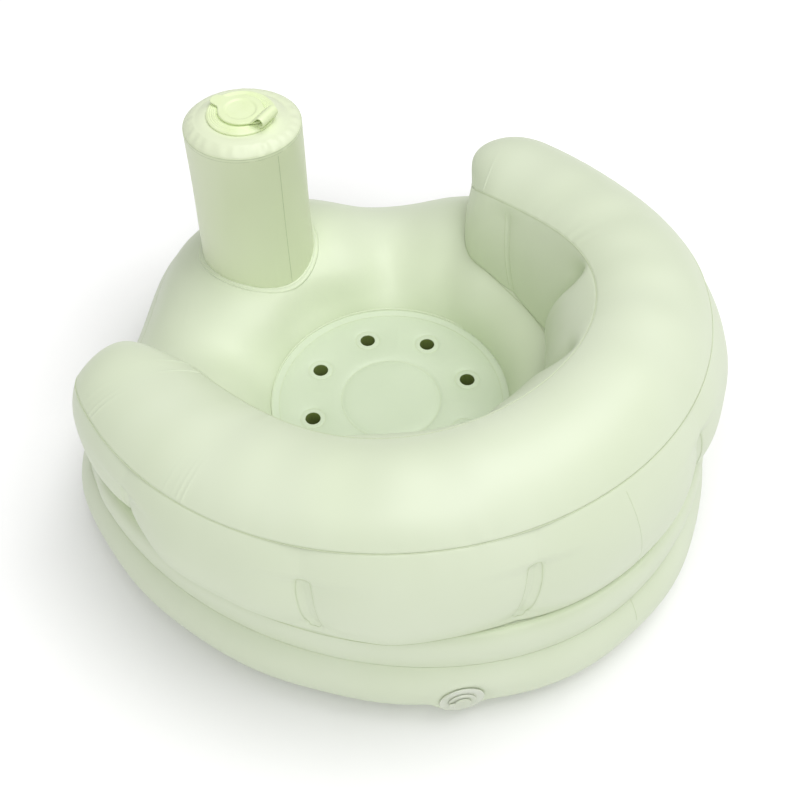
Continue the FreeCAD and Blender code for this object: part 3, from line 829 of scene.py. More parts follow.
def on_wall(grid, T, v):
    """Points of a backrest panel at given angles and shares, read between the points of its grid."""
    row = np.interp(T, T_back[:, 0], np.arange(len(T_back)))
    column = np.interp(v, across[0], np.arange(across.shape[1]))
    i, j = (np.minimum(place.astype(int), count - 2) for place, count in zip((row, column), grid.shape))
    a, b = (row - i)[:, None], (column - j)[:, None]
    return ((grid[i, j] * (1 - a) + grid[i + 1, j] * a) * (1 - b)
            + (grid[i, j + 1] * (1 - a) + grid[i + 1, j + 1] * a) * b)


def inner_fold(side, tie, v):
    """Angle of a fold at a share of the inner wall, on one side."""
    angle, lean = INNER_TIES[tie][:2]
    return side * (angle + lean * (v - FOLD_LEVEL))


def tie_sheet(outer_tie, inner_tie):
    """A sheet from an outer band to the fold across from it, a film's thickness short of both."""
    angle, lean = outer_tie
    v = TIE_SHARES
    outer = on_wall(outer_grid, angle + lean * v, v)
    inner = on_wall(inner_grid, inner_fold(np.sign(angle), inner_tie, 1 - v), 1 - v)
    return outer[:, None] * (1 - TIE_REACH) + inner[:, None] * TIE_REACH


def tie_angle(node):
    middle = sum(node_box(node)) / 2
    return math.degrees(math.atan2(middle[0], middle[1]))


tie_nodes = sorted(("backrest_tie_%d" % number for number in range(1, 7)), key=tie_angle)
for node, outer_tie, inner_tie in zip(tie_nodes, OUTER_TIES, (2, 1, 0, 0, 1, 2)):
    sheet = tie_sheet(outer_tie, inner_tie)
    part = grid_part(sheet, sheet[0, 0] + BEHIND_TIE)
    make_piece(node + "_sheet", [part], "sofa", [node], tie_vinyl, FILM)

# %% [markdown]
# The seat pad is two sheets welded along a small circle, along its rim and round each drain hole.
# Its middle ring is cut into eight equal sectors, and each sector is a grid that runs from the
# edge of its hole out to the sector's outline, so the holes are real and the quads stay even.
# The height is a puff that sinks to the weld wherever a weld is near. The lower sheet is the
# same shape turned over.

# %% Seat pad
HOLE_R, HOLE_CIRCLE, HOLE_WELD = 6.5, 69.6, 10.5
CENTRE_WELD, RIM_WELD = 42.5, 96.0
PAD_Z, PUFF = WAIST_Z + 0.6, 2.2
CENTRE_FADE, RIM_FADE, HOLE_FADE = 4.0, 8.0, 9.0
HOLE_LINE, CENTRE_LINE, LINE_HALF = 0.35, 0.3, 0.8
SIDE_STEPS, INNER_STEPS, OUTER_STEPS = 22, 18, 34
SECTOR = 45.0
LIP = 1.5
SIDE_SHORT = 2.0
HOLE_ANGLES = SECTOR / 2 + SECTOR * np.arange(8)
HOLES = polar(HOLE_ANGLES, HOLE_CIRCLE, 0.0)
RIM_RADII = np.linspace(RIM_WELD, SEAT_R + 0.4, 10)
SEAT_LOW = float(node_box("seat_bottom_sheet")[0][2])


def seat_height(points):
    """Puffed film: a height that drops to the weld's level near each weld line."""
    radius = np.hypot(points[..., 0], points[..., 1])
    nearest = np.min(np.hypot(points[..., None, 0] - HOLES[:, 0], points[..., None, 1] - HOLES[:, 1]), -1)
    puff = 1.0
    for distance, reach in ((np.abs(radius - CENTRE_WELD), CENTRE_FADE),
                            (np.abs(radius - RIM_WELD), RIM_FADE),
                            (np.maximum(nearest - HOLE_WELD, 0), HOLE_FADE)):
        puff = puff * (1 - np.exp(-distance / reach))
    lines = (HOLE_LINE * bell((nearest - HOLE_WELD) / LINE_HALF)
             + CENTRE_LINE * bell((radius - CENTRE_WELD) / LINE_HALF))
    return PAD_Z + PUFF * puff - lines


def seat_sector(angle, hole):
    """A grid from the hole's edge to the outline of a sector between the two welds, with a lip."""
    side, inner, outer = (np.arange(count) / count for count in (SIDE_STEPS, INNER_STEPS, OUTER_STEPS))
    half = SECTOR / 2
    T = np.concatenate([angle - half + SECTOR * inner, angle + half + 0 * side,
                        angle + half - SECTOR * outer, angle - half + 0 * side])
    wide = RIM_WELD - CENTRE_WELD
    radius = np.concatenate([CENTRE_WELD + 0 * inner, CENTRE_WELD + wide * side, RIM_WELD + 0 * outer,
                             RIM_WELD - wide * side])
    outline = polar(T, radius, 0.0)
    spoke = outline - hole
    edge = hole + HOLE_R * spoke / np.linalg.norm(spoke, axis=1, keepdims=True)
    share = np.linspace(0, 1, 26)[None, :, None] ** 1.25
    points = edge[:, None] * (1 - share) + outline[:, None] * share
    points[..., 2] = seat_height(points)
    lip = points[:, :1].copy()
    lip[..., 2] -= LIP
    return np.concatenate([lip, points], 1)


def seat_ring(radii, steps):
    """A plain ring or disc of the pad between given radii, with so many rows to each sector."""
    count = len(HOLES) * steps
    points = polar(np.arange(count)[:, None] * 360.0 / count, radii[None, :], 0.0)
    points[..., 2] = seat_height(points)
    return points


def turned_over(points):
    """The same sheet seen from below: heights mirrored between the pad's two levels."""
    return points * [1, 1, -1] + [0, 0, PAD_Z + PUFF + SEAT_LOW]


def seat_side(rim):
    """The pad's upright edge below the rim, from the lower sheet up to the ring's waist."""
    edge = turned_over(rim)[:, -1:]
    rise = np.linspace(0, 1, 8)[None, :, None] * [0, 0, 1.0]
    return edge + rise * (WAIST_Z - SIDE_SHORT - edge[..., 2:])


far_below, far_above, pad_middle = np.array([[0.0, 0.0, -200.0], [0.0, 0.0, 300.0], [0.0, 0.0, 45.0]])
seat_grids = [seat_sector(angle, hole) for angle, hole in zip(HOLE_ANGLES, HOLES)]
seat_grids.append(seat_ring(np.linspace(0, CENTRE_WELD, 24), INNER_STEPS))
seat_grids.append(seat_ring(RIM_RADII, OUTER_STEPS))
over_parts = [grid_part(grid, far_below, True) for grid in seat_grids]
under_parts = [grid_part(turned_over(grid), far_above, True) for grid in seat_grids]
under_parts.append(grid_part(seat_side(seat_grids[-1]), pad_middle, True))
# Both seat sheets wear the darker seat film, which is painted shade of the well.
for name, parts, node in (("seat_pad_film", over_parts, "seat_top_sheet"),
                          ("seat_underside", under_parts, "seat_bottom_sheet")):
    film_piece(name, parts, node, seat_vinyl_painted_shade)

# %% [markdown]
# The post is the pump; on the toy its sleeve squeezes together with the foam inside when the head
# goes down. The head is a flat disc with a slanting shoulder, lightly puckered where it is welded to
# the sleeve. Shapes that are round about an axis share one helper: a profile turned about it.

# %% Turning a profile
UPRIGHT = np.eye(3)
CORNER_STEPS = 5
LONGEST_CUT = 0.45


def turned(profile, axes, origin, count):
    """A profile of (radius, height) carried round the third axis: rows are angles."""
    angle = np.radians(np.arange(count) * 360.0 / count)[:, None]
    radius, height = np.asarray(profile)[None, :, 0], np.asarray(profile)[None, :, 1]
    local = np.stack(np.broadcast_arrays(radius * np.sin(angle), radius * np.cos(angle), height), -1)
    return np.asarray(origin) + local @ axes


def turned_part(profile, heart, axes, origin, count, closed=True):
    """A turned profile as a part that faces away from a heart inside its section."""
    grid, inside = (turned(line, axes, origin, count) for line in (profile, [heart]))
    return grid_part(grid, inside, True, closed)


def rounded(corners, size):
    """An outline whose corners are parabolas from size before to size after. On the axis they stay."""
    corners = np.array(corners, float)
    share = np.linspace(0, 1, CORNER_STEPS)[None, :, None]
    ends = []
    for turn in (1, -1):
        side = np.roll(corners, turn, 0) - corners
        length = np.maximum(np.linalg.norm(side, axis=1, keepdims=True), TINY)
        cut = np.where(corners[:, :1] > 0, np.minimum(size / length, LONGEST_CUT), 0.0)
        ends.append(corners + side * cut)
    curve = ((1 - share) ** 2 * ends[0][:, None] + 2 * share * (1 - share) * corners[:, None]
             + share ** 2 * ends[1][:, None])
    return curve.reshape(-1, 2)


# %% Pump post
HEAD_R, HEAD_FLAT, HEAD_BORE, FLANGE_CLEAR = POST_R - 1.5, 39.0, 15.5, 27.0
HEAD_SOFT, HEAD_SOFT_RUN, HEAD_BOW = 0.8, 8.0, 0.9
EDGE_AHEAD, EDGE_ASIDE, EDGE_DROP = 3.9, 1.7, 2.9
RIM_AHEAD, RIM_DROP = 2.2, 1.2
TAUT, TAUT_MORE = 0.26, 0.14
SLEEVE_WAIST, SLEEVE_SLACK, SLEEVE_TWIST = 0.6, 0.35, 40
FOOT_IN, FOOT_OUT, FOOT_LIFT, FOOT_SLACK = 0.8, 4.7, 0.5, 0.15
FOOT_LINES, FOOT_LINE_HALF = ((1.1, 0.35), (4.0, 0.4)), 0.5
FOOT_FALL, FALL_START, FALL_RUN = 0.7, 4.3, 0.4
CAMERA_SIDE = math.degrees(math.atan2(*(EYE[:2] / MM - POST)))
T_post = np.arange(0, 360, 1.5)[:, None]


def post_stand(radius):
    """Height of the ring at a radius from the post's axis, for every angle round the post."""
    points = polar(T_post, radius, 0.0, POST)[:, 0]
    T, reach = np.degrees(np.arctan2(points[:, 0], points[:, 1])), np.hypot(points[:, 0], points[:, 1])
    return ring_height(T[:, None], reach[:, None])


def head_lean(T, radius):
    """How far the head leans: level under the flange and nearly level at the rim, while the edge
    of the flat top between them drops away behind."""
    turn = np.radians(T - CAMERA_SIDE)
    edge = EDGE_AHEAD * np.cos(turn) + EDGE_ASIDE * np.sin(turn) - EDGE_DROP
    rim = RIM_AHEAD * np.cos(turn) - RIM_DROP
    share = np.clip((radius - HEAD_FLAT) / (HEAD_R - HEAD_FLAT), 0.0, 1.0)
    return (edge + (rim - edge) * share) * ease((radius - FLANGE_CLEAR) / (HEAD_FLAT - FLANGE_CLEAR))


def post_sleeve():
    """A tube that narrows a little upwards, with a slack waist and puckers at both welds."""
    v = crowded(80, 0.6)
    swing = np.sin(np.pi * v)
    slack = SLEEVE_SLACK * waves(T_post + SLEEVE_TWIST * v, 2, 8, 81) * swing
    radius = POST_R + (HEAD_R - POST_R) * v + (slack - SLEEVE_WAIST * swing ** 2)
    stand = post_stand(radius[:, :1])
    height = stand + (HEAD_SEAM + head_lean(T_post, HEAD_R) - stand) * v
    radius, height = dressed(T_post, radius, height, dict(seed=82, low=14, high=44, pucker=0.9),
                             dict(seed=83, low=14, high=40, pucker=0.7, reach=7.0))
    return polar(T_post, radius, height, POST)


def post_head():
    """A slanting shoulder with upright puckers, a soft edge and a level top, all leaning a little."""
    v = crowded(30, 0.5)
    radius, height = bow((HEAD_R + 0 * T_post, HEAD_SEAM), (HEAD_FLAT, HEAD_TOP - HEAD_SOFT), HEAD_BOW, v)
    taut = TAUT + TAUT_MORE * np.cos(np.radians(T_post - CAMERA_SIDE))
    pucker = taut * waves(T_post, 12, 34, 84) * np.sin(np.pi * v) ** 0.7
    radius, height = dressed(T_post, radius, height, dict(seed=85, pucker=0.0), None, pucker)
    level = np.linspace(HEAD_FLAT, HEAD_BORE, 24)[None, 1:]
    soft = HEAD_SOFT * ease((level - HEAD_FLAT + HEAD_SOFT_RUN) / HEAD_SOFT_RUN) ** 2
    radius = np.concatenate([radius, level + 0 * T_post], 1)
    height = np.concatenate([height, HEAD_TOP - soft + 0 * T_post], 1)
    return polar(T_post, radius, height + head_lean(T_post, radius), POST)


def foot_flange():
    """A flat weld ring round the foot with two fine raised lines."""
    radius = np.linspace(POST_R - FOOT_IN, POST_R + FOOT_OUT, 34)[None, :]
    lines = sum(rise * bell((radius - POST_R - place) / FOOT_LINE_HALF) for place, rise in FOOT_LINES)
    fall = FOOT_FALL * ease((radius - POST_R - FALL_START) / FALL_RUN)
    stand = np.concatenate([post_stand(column) for column in radius.T], 1)
    height = stand + FOOT_LIFT + lines - fall + FOOT_SLACK * waves(T_post, 9, 30, 86)
    return polar(T_post, radius, height, POST)


post_core = np.array([POST[0], POST[1], (TOP_Z + HEAD_SEAM) / 2])
sleeve_grid = post_sleeve()
foot_part = grid_part(foot_flange(), post_core * [1, 1, 0], True)
# The sleeve and the head wear the lighter post film, which is painted light.
sleeve = film_piece("pump_sleeve", [grid_part(sleeve_grid, post_core, True)], "post_sleeve", post_vinyl_painted_light)
head = film_piece("pump_head_disc", [grid_part(post_head(), post_core, True)], "post_top_disc", post_vinyl_painted_light,
                  "pump_head")
film_piece("pump_foot_weld", [foot_part], "post_foot_flange", vinyl)

# %% [markdown]
# The foam inside is never seen at rest, but it is a real piece; on the toy it shortens with the
# sleeve. The foam and the sleeve each get a mesh of their own.

# %% Foam, and meshes of their own
FOAM_SHORT, FOAM_ROUND = 6.0, 8.0


def squeeze(piece):
    """Give a piece a mesh of its own."""
    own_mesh(piece)


low, high = node_box("pump_sponge")
FOAM_R = float(high[0] - low[0]) / 2
FOAM_FOOT, FOAM_TOP = float(low[2]), float(high[2]) - FOAM_SHORT
foam_profile = rounded([(0, FOAM_FOOT), (FOAM_R, FOAM_FOOT), (FOAM_R, FOAM_TOP), (0, FOAM_TOP)], FOAM_ROUND)
foam_part = grid_part(turned(foam_profile, UPRIGHT, (*POST, 0.0), 96), post_core, True)
foam_block = make_piece("pump_foam", [foam_part], "sofa", ["pump_sponge"], foam)
squeeze(sleeve)
squeeze(foam_block)

# %% [markdown]
# The intake on the post is a lime moulding: a flange with low rings, and a cap whose plate runs
# out into a pull tab on one side and into a strap on the other. The strap rises from the cap,
# bends over and comes down on the flange. The plate is a polar grid whose outline is a disc
# joined softly to a round-ended lobe, and the strap is a rounded section carried along a path.

# %% Intake flange and cap
cap_axis = joints["cap_swing"]["axis"]
INTAKE_AXES = np.array([[-cap_axis[0], -cap_axis[1], 0.0], [cap_axis[1], -cap_axis[0], 0.0], [0.0, 0.0, 1.0]])
INTAKE = np.array([POST[0], POST[1], HEAD_TOP])
FLANGE_R, FLANGE_TOP, FLANGE_BORE, NECK_R, NECK_LOW = 28.0, 2.4, 12.2, 15.2, -6.0
FLANGE_EDGE, FLANGE_CUT = 1.0, 0.4
FLANGE_SINK, SINK_START, SINK_RUN = 0.5, 21.5, 6.0
RIDGES = ((19.8, 0.5), (21.4, 0.5), (23.0, 0.55), (24.7, 0.5), (26.3, 0.45))
RIDGE_HALF = 0.55
FLANGE_HEART, CAP_HEART = (20.0, 1.0), [0.0, 0.0, 3.0]
CAP_R, CAP_LOW, CAP_TOP, CAP_DISH, CAP_PLUG, CAP_EDGE = 18.5, 2.7, 5.3, 12.5, 11.7, 1.2
CAP_STEPS = 12
BACK_START, TOP_START = CAP_PLUG + 1.0, CAP_DISH + 2.2
PLUG_LINE = np.array([(0.0, -1.8), (6.0, -1.8), (CAP_PLUG - 1.4, -1.8), (CAP_PLUG - 1.0, -1.4),
                      (CAP_PLUG, 2.2), (CAP_PLUG + 0.5, CAP_LOW)])
DISH_LINE = np.array([*(CAP_DISH + np.array([1.6, 0.8, 0.0, -0.8, -1.6])), 9.0, 5.0, 0.0])
TAB_HALF, TAB_REACH = 6.0, 29.0
NECK_HALF, NECK_REACH = 10.0, 24.0
BAR_THIN, BAR_RISE, DISH_DEPTH = 1.0, 0.2, 1.0
FILLET = 8.0
LIME = ("lime_valve", lime)


def flange_profile():
    """A closed outline: the ringed top, a round edge, the flat back and the neck."""
    radius = np.linspace(FLANGE_BORE + FLANGE_CUT, FLANGE_R - FLANGE_EDGE, 90)
    top = FLANGE_TOP - FLANGE_SINK * ease((radius - SINK_START) / SINK_RUN)
    for place, rise in RIDGES:
        top = top + rise * bell((radius - place) / RIDGE_HALF)
    edge = np.linspace(0, np.pi / 2, 7)[1:]
    rim = [radius[-1] + FLANGE_EDGE * np.sin(edge), top[-1] - FLANGE_EDGE * (1 - np.cos(edge))]
    back = np.array([(FLANGE_R, FLANGE_CUT), (FLANGE_R - FLANGE_CUT, 0.0), (NECK_R, 0.0), (NECK_R, NECK_LOW),
                     (FLANGE_BORE, NECK_LOW), (FLANGE_BORE, FLANGE_TOP - FLANGE_CUT)])
    return np.concatenate([np.stack([radius, top], -1), np.stack(rim, -1), back])


def lobe(angle, half, reach):
    """How far a round-ended bar of this half width reaches from the centre at an angle from it."""
    sideways, ahead = np.abs(np.sin(angle)), np.cos(angle)
    straight = reach - half
    side = half / np.maximum(sideways, 1e-3)
    tip = straight * ahead + np.sqrt(np.maximum(half ** 2 - (straight * sideways) ** 2, 0))
    return np.where(ahead > 0, np.where(side * ahead < straight, side, tip), 0.0)


def cap_plate():
    """The plug below, the plate's back, its round edge, its top and the shallow dish, as columns."""
    angle = np.radians(np.arange(0, 360, 1.5))[:, None]
    bars = lobe(angle - np.pi, TAB_HALF, TAB_REACH) ** FILLET + lobe(angle, NECK_HALF, NECK_REACH) ** FILLET
    flat = (CAP_R ** FILLET + bars) ** (1 / FILLET) - CAP_EDGE
    run = np.linspace(0, 1, CAP_STEPS)[None, :]
    turn = np.linspace(-np.pi / 2, np.pi / 2, 9)[None, 1:-1]
    radius = np.concatenate([PLUG_LINE[:, 0] + 0 * angle, BACK_START + (flat - BACK_START) * run,
                             flat + CAP_EDGE * np.cos(turn), TOP_START + (flat - TOP_START) * run[:, ::-1],
                             DISH_LINE + 0 * angle], 1)
    low = CAP_LOW + BAR_THIN * ease((radius - CAP_R + 0.6) / 2.5)
    high = CAP_TOP + BAR_RISE * ease((radius - CAP_R) / 4.0)
    high = high - DISH_DEPTH * ease((CAP_DISH + 1.0 - radius) / 2.0)
    below, above = len(PLUG_LINE) + CAP_STEPS, CAP_STEPS + len(DISH_LINE)
    side = np.concatenate([-np.ones((1, below)), np.sin(turn), np.ones((1, above))], 1)
    height = (low + high) / 2 + (high - low) / 2 * side
    height[:, :len(PLUG_LINE)] = PLUG_LINE[:, 1]
    local = np.stack([radius * np.sin(angle), radius * np.cos(angle), height], -1)
    return INTAKE + local @ INTAKE_AXES


flange_part = turned_part(flange_profile(), FLANGE_HEART, INTAKE_AXES, INTAKE, 160)
moulding("intake_flange", flange_part, "pump_head", *LIME)
moulding("intake_cap", grid_part(cap_plate(), INTAKE + CAP_HEART, True), "intake_cap", *LIME)

# %% [markdown]
# A strap has a section like a flattened lozenge with round edges, a superellipse. Its ends are
# closed by letting the section shrink to nothing over the last few rows.

# %% Cap strap
STRAP_START, STRAP_LOW, STRAP_ROOT, STRAP_PIVOT = 13.5, 4.1, 25.5, 7.9
STRAP_THICK, STRAP_WIDE, STRAP_FLARE = 1.5, 20.0, 1.5
STRAP_BEND = 4.5 - STRAP_THICK / 2
SQUARENESS = 0.35
CLOSING_ROWS = 4.0


def carried(path, sideways, half_wide, half_thick, axes, origin):
    """A superellipse section carried along a path in its own axes, its ends drawn to a point."""
    ahead = np.gradient(path, axis=0)
    ahead /= np.linalg.norm(ahead, axis=1, keepdims=True)
    up = np.cross(sideways, ahead)
    turn = np.linspace(0, 2 * np.pi, 36, endpoint=False)[None, :, None]
    wide = squared(np.cos(turn), SQUARENESS) * half_wide[:, None, None]
    thick = squared(np.sin(turn), SQUARENESS) * half_thick
    closing = np.minimum(np.arange(len(path)), np.arange(len(path))[::-1])
    closing = np.sqrt(1 - (1 - np.clip(closing / CLOSING_ROWS, 0, 1)) ** 2)[:, None, None]
    grid = path[:, None] + closing * (wide * sideways + thick * up[:, None])
    heart = np.broadcast_to(path[:, None], grid.shape)
    return grid_part(origin + grid @ axes, origin + heart @ axes, False, True)


def strap_path():
    """Out of the cap's plate, up in a soft S, round the bend and back under it, in local y and z."""
    rise = np.linspace(0, 1, 30)
    y = STRAP_START + (STRAP_ROOT - STRAP_START) * rise
    z = STRAP_LOW + (STRAP_PIVOT + STRAP_BEND - STRAP_LOW) * ease((rise - 0.15) / 0.85)
    bend = np.linspace(np.pi / 2, -np.pi / 2, 26)[1:]
    y = np.concatenate([y, STRAP_ROOT + STRAP_BEND * np.cos(bend), STRAP_ROOT - np.linspace(0.3, 2.0, 6)])
    z = np.concatenate([z, STRAP_PIVOT + STRAP_BEND * np.sin(bend), np.full(6, STRAP_PIVOT - STRAP_BEND)])
    return np.stack([0 * y, y, z], -1)


path = strap_path()
flare = STRAP_WIDE / 2 + STRAP_FLARE * (1 - ease((path[:, 1] - 14.0) / 9.0))
strap_part = carried(path, np.array([1.0, 0.0, 0.0]), flare, STRAP_THICK / 2, INTAKE_AXES, INTAKE)
moulding("cap_strap", strap_part, "intake_cap", *LIME)

# %% [markdown]
# The inflation valve at the back is clear soft vinyl. A collar is welded behind the film's hole,
# a stem slides in it, and a plug on a tether closes the stem.

# %% Rear valve
COLLAR_NECK, COLLAR_LOW = 9.9, -20.0
STEM_R, STEM_BORE, STEM_LOW, STEM_RIM = 7.3, 4.8, -16.0, 10.5
RIM_LOW, RIM_TOP = 1.5, 2.7
PLUG_LOW, PLUG_TOP, PLUG_HEAD, PLUG_R, PLUG_TIP, PLUG_END = 3.0, 4.6, 6.5, 4.5, 3.7, -1.0
TETHER_START, TETHER_END, TETHER_HALF, TETHER_THICK = PLUG_HEAD - 1.5, 10.5, 2.5, 1.0
VALVE_ROUND = 0.5
CLEAR = ("clear_valve", clear)

collar_line = ((COLLAR_BORE, COLLAR_THICK), (COLLAR_R, COLLAR_THICK), (COLLAR_R, 0.0), (COLLAR_NECK, 0.0),
               (COLLAR_NECK, COLLAR_LOW), (COLLAR_BORE, COLLAR_LOW))
stem_line = ((STEM_BORE, RIM_TOP), (STEM_RIM, RIM_TOP), (STEM_RIM, RIM_LOW), (STEM_R, RIM_LOW),
             (STEM_R, STEM_LOW), (STEM_BORE, STEM_LOW))
plug_line = ((0.0, PLUG_TOP), (PLUG_HEAD, PLUG_TOP), (PLUG_HEAD, PLUG_LOW), (PLUG_R, PLUG_LOW),
             (PLUG_TIP, PLUG_END), (0.0, PLUG_END))
for node, line, heart, closed, body in (("valve_collar", collar_line, (8.75, 0.6), True, "sofa"),
                                        ("valve_stem", stem_line, (6.0, 2.1), True, "valve_stem"),
                                        ("valve_plug", plug_line, (0.1, 3.5), False, "valve_plug")):
    part = turned_part(rounded(line, VALVE_ROUND), heart, VALVE_AXES, VALVE, 96, closed)
    moulding(node, part, body, *CLEAR)
tether_x = np.linspace(TETHER_START, TETHER_END, 24)
tether_path = np.stack([tether_x, 0 * tether_x, 0 * tether_x + (PLUG_LOW + PLUG_TOP) / 2], -1)
tether_part = carried(tether_path, np.array([0.0, 1.0, 0.0]), TETHER_HALF + 0 * tether_x, TETHER_THICK / 2,
                      VALVE_AXES, VALVE)
moulding("plug_tether", tether_part, "valve_plug", *CLEAR)

# %% [markdown]
# Each seam also shows a thin bead where the two films were pressed together. A bead is a small
# tube carried along the seam's own curve. The bands of the ties have such an outline too: it is
# a rounded rectangle drawn in angle and share, and laid on the wall in the way the ties were.

# %% Weld beads
BEAD, BAND_BEAD, SIDE_BEAD, FINE_BEAD, SEAT_BEAD, WALL_BEAD = 0.35, 0.3, 0.28, 0.25, 0.22, 0.17
SEAM_IN, CROWN_LIFT, FOOT_BEAD_LIFT, SEAT_BEAD_LIFT = 0.5, -0.4, 0.2, 0.1
BAND_SQUARE = 0.45
STRIP_HALF, STRIP_SHARES = 1.4, np.linspace(0.1, 0.93, 60)
LAP_ANGLE, LAP_FROM = 358.5, 46
WALL_LAP_FOOT, WALL_LAP_LEAN, WALL_LAP_SHARES = -1.2, 3.4, np.linspace(0.04, 0.94, 60)


def bead(line, size, closed, centre=(0.0, 0.0)):
    """A tube of six sides round a line: across it lie the way out from the centre and its normal."""
    ahead = np.roll(line, -1, 0) - np.roll(line, 1, 0) if closed else np.gradient(line, axis=0)
    ahead /= np.linalg.norm(ahead, axis=1, keepdims=True)
    side = np.cross(ahead, line * [1, 1, 0] - np.array([*centre, 0.0]))
    side /= np.linalg.norm(side, axis=1, keepdims=True)
    up = np.cross(side, ahead)
    turn = np.radians(np.arange(0, 360, 60.0))[None, :, None]
    points = line[:, None] + size * (np.cos(turn) * side[:, None] + np.sin(turn) * up[:, None])
    return grid_part(points, np.broadcast_to(line[:, None], points.shape), closed, True)


def bead_piece(name, parts, body="sofa"):
    """A piece of beads, which takes the place of no construction node."""
    return make_piece(name, parts, body, [], weld_vinyl)


def band_outline(angle, lean):
    """The edge of a tie's band on the outer wall: a superellipse in angle and share."""
    turn = np.linspace(0, 2 * np.pi, 140, endpoint=False)
    half = np.degrees(BAND_HALF / series(angle, *OUTER_SEAM[0]))
    v = ((BAND_LOW + BAND_HIGH) + (BAND_HIGH - BAND_LOW) * squared(np.sin(turn), BAND_SQUARE)) / 2
    return on_wall(outer_grid, angle + lean * v + half * squared(np.cos(turn), BAND_SQUARE), v)


def strip_edge(side, edge):
    """One edge of the strip where a tie is welded to an arm's inner wall, so many degrees aside."""
    return on_wall(inner_grid, inner_fold(side, 2, STRIP_SHARES) + edge, STRIP_SHARES)


def seam_loop(outer, inner, lift):
    """One closed line along an outer weld and back along an inner one."""
    there, back = (polar(T_back, radius, height + lift)[:, 0] for radius, height in (outer, inner))
    return np.concatenate([there[:-1], back[::-1][:-1]])


def seat_line(radius, centre):
    """A weld circle on the seat pad, laid on the pad's own height."""
    line = polar(np.arange(0, 360, 3.0), radius, 0.0, centre)
    line[:, 2] = seat_height(line) + SEAT_BEAD_LIFT
    return bead(line, SEAT_BEAD, True, centre)


def row_at(angles, angle):
    """The row whose angle is nearest."""
    return int(np.argmin(np.abs(angles[:, 0] - angle)))


wall_lap = on_wall(outer_grid, WALL_LAP_FOOT + WALL_LAP_LEAN * WALL_LAP_SHARES, WALL_LAP_SHARES)
seam_parts = [bead(polar(T_ring, seam_r - SEAM_IN, SEAM_Z)[:, 0], BEAD, True),
              bead(seam_loop(outer_seam, inner_seam, CROWN_LIFT), BEAD, True),
              bead(seam_loop(outer_foot, inner_foot, FOOT_BEAD_LIFT), BEAD, True),
              bead(lower_grid[row_at(T_ring, LAP_ANGLE), LAP_FROM:], FINE_BEAD, False),
              bead(wall_lap, WALL_BEAD, False)]
seam_parts += [bead(band_outline(*tie), BAND_BEAD, True) for tie in OUTER_TIES[1:-1]]
seam_parts += [bead(strip_edge(side, edge), FINE_BEAD, False)
               for side in (-1, 1) for edge in (-STRIP_HALF, STRIP_HALF)]
bead_piece("seam_beads", seam_parts)
seat_lines = [seat_line(radius, (0.0, 0.0)) for radius in (CENTRE_WELD, RIM_WELD)]
seat_lines += [seat_line(HOLE_WELD, tuple(hole[:2])) for hole in HOLES]
bead_piece("seat_weld_lines", seat_lines)

# %% [markdown]
# The post has beads of its own: a lap seam down the sleeve's side, and two rings at the head's weld
# that go down with the head.

# %% Beads of the post
SIDE_SEAM_ANGLE = 0.5
RING_IN, LOW_RING_IN, LOW_RING_DROP = 0.3, 0.1, 2.6
side_seam = sleeve_grid[row_at(T_post, SIDE_SEAM_ANGLE), 3:-6]
sleeve_beads = bead_piece("sleeve_beads", [bead(side_seam, SIDE_BEAD, False, POST)])
squeeze(sleeve_beads)
rim_z = HEAD_SEAM + head_lean(T_post, HEAD_R)
ring_high = polar(T_post, HEAD_R - RING_IN, rim_z, POST)[:, 0]
ring_low = polar(T_post, HEAD_R - LOW_RING_IN, rim_z - LOW_RING_DROP, POST)[:, 0]
head_rings = [bead(ring_high, BEAD, True, POST), bead(ring_low, FINE_BEAD, True, POST)]
bead_piece("head_bead", head_rings, "pump_head")

# %% [markdown]
# Last comes the studio: a pale floor, a bright even sky, one broad soft light from above and
# from the picture's right, and a weak one from the camera's side. The floor glows a little outside
# the sofa's footprint, so that it stays as pale as the sky.

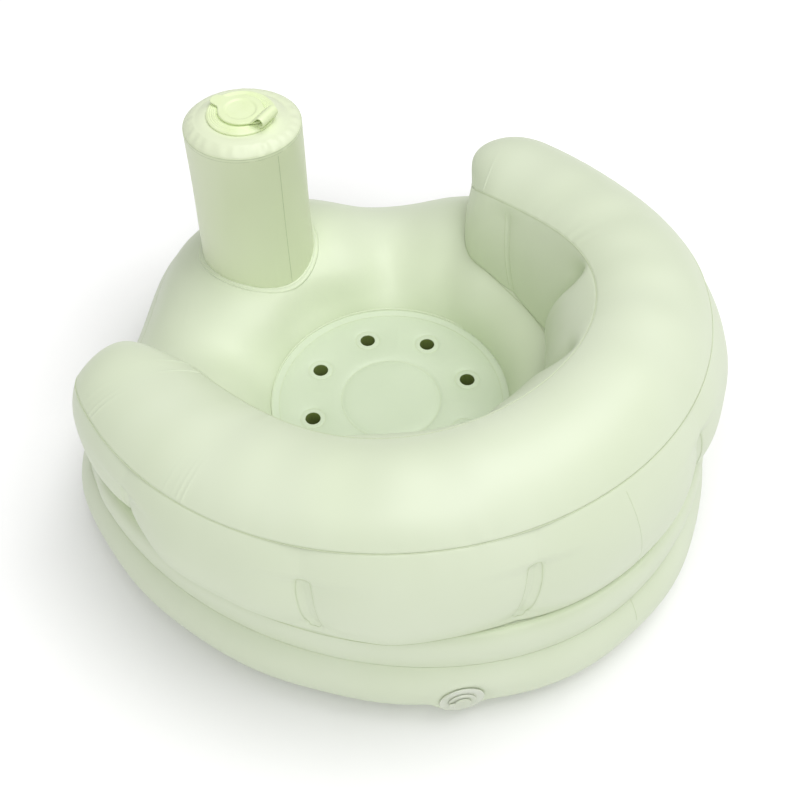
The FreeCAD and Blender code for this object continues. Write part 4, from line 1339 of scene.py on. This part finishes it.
# %% Stage and light
FLOOR_HALF, FLOOR_Z = 4.0, -0.5
FLOOR_TONE, FLOOR_ROUGH = (0.85, 0.85, 0.85, 1.0), 0.9
SKY = 0.31
GLOW, GLOW_START, GLOW_END = 0.34, 0.23, 0.42
LAMPS = (("key", (-0.85, 0.45, 3.1), 2.4, 61.0), ("fill", (0.8, 0.8, 1.7), 1.0, 12.0))
LAMP_AIM = [0.0, 0.0, 0.1]


def studio_floor():
    """A square below the sofa, whose glow grows with the distance from its middle."""
    mesh = bpy.data.meshes.new("studio_floor")
    corners = [(-1, -1), (1, -1), (1, 1), (-1, 1)]
    mesh.from_pydata([(x * FLOOR_HALF, y * FLOOR_HALF, FLOOR_Z * MM) for x, y in corners], [], [(0, 1, 2, 3)])
    floor = new_object("studio_floor", mesh)
    pale = bpy.data.materials.new("studio_floor")
    pale.use_nodes = True
    tree = pale.node_tree
    length = tree.nodes.new("ShaderNodeVectorMath")
    length.operation = "LENGTH"
    feed(tree, length, {0: tree.nodes.new("ShaderNodeTexCoord").outputs["Object"]})
    glow = remap(tree, length.outputs["Value"], 0.0, 1.0, GLOW_START, GLOW_END)
    feed(tree, tree.nodes["Principled BSDF"], {"Base Color": FLOOR_TONE, "Roughness": FLOOR_ROUGH,
                                               "Emission Strength": GLOW, "Emission Color": glow})
    mesh.materials.append(pale)


def studio_light():
    """An even white sky, and square lamps that look at the sofa."""
    world = bpy.data.worlds.new("studio_sky")
    bpy.context.scene.world = world
    world.use_nodes = True
    sky = world.node_tree.nodes["Background"]
    feed(world.node_tree, sky, {"Color": (1.0, 1.0, 1.0, 1.0), "Strength": SKY})
    for name, place, size, power in LAMPS:
        light = bpy.data.lights.new(name, "AREA")
        light.size = size
        light.energy = power
        away = np.array(place) - LAMP_AIM
        lamp = new_object(name, light)
        lamp.matrix_world = looking(np.array(place), away, np.cross([0.0, 0.0, 1.0], away))


studio_floor()
studio_light()
bpy.context.scene.view_settings.view_transform = "Standard"
print("stage: floor and", len(LAMPS), "lamps")

# %% The end
bpy.context.view_layer.update()
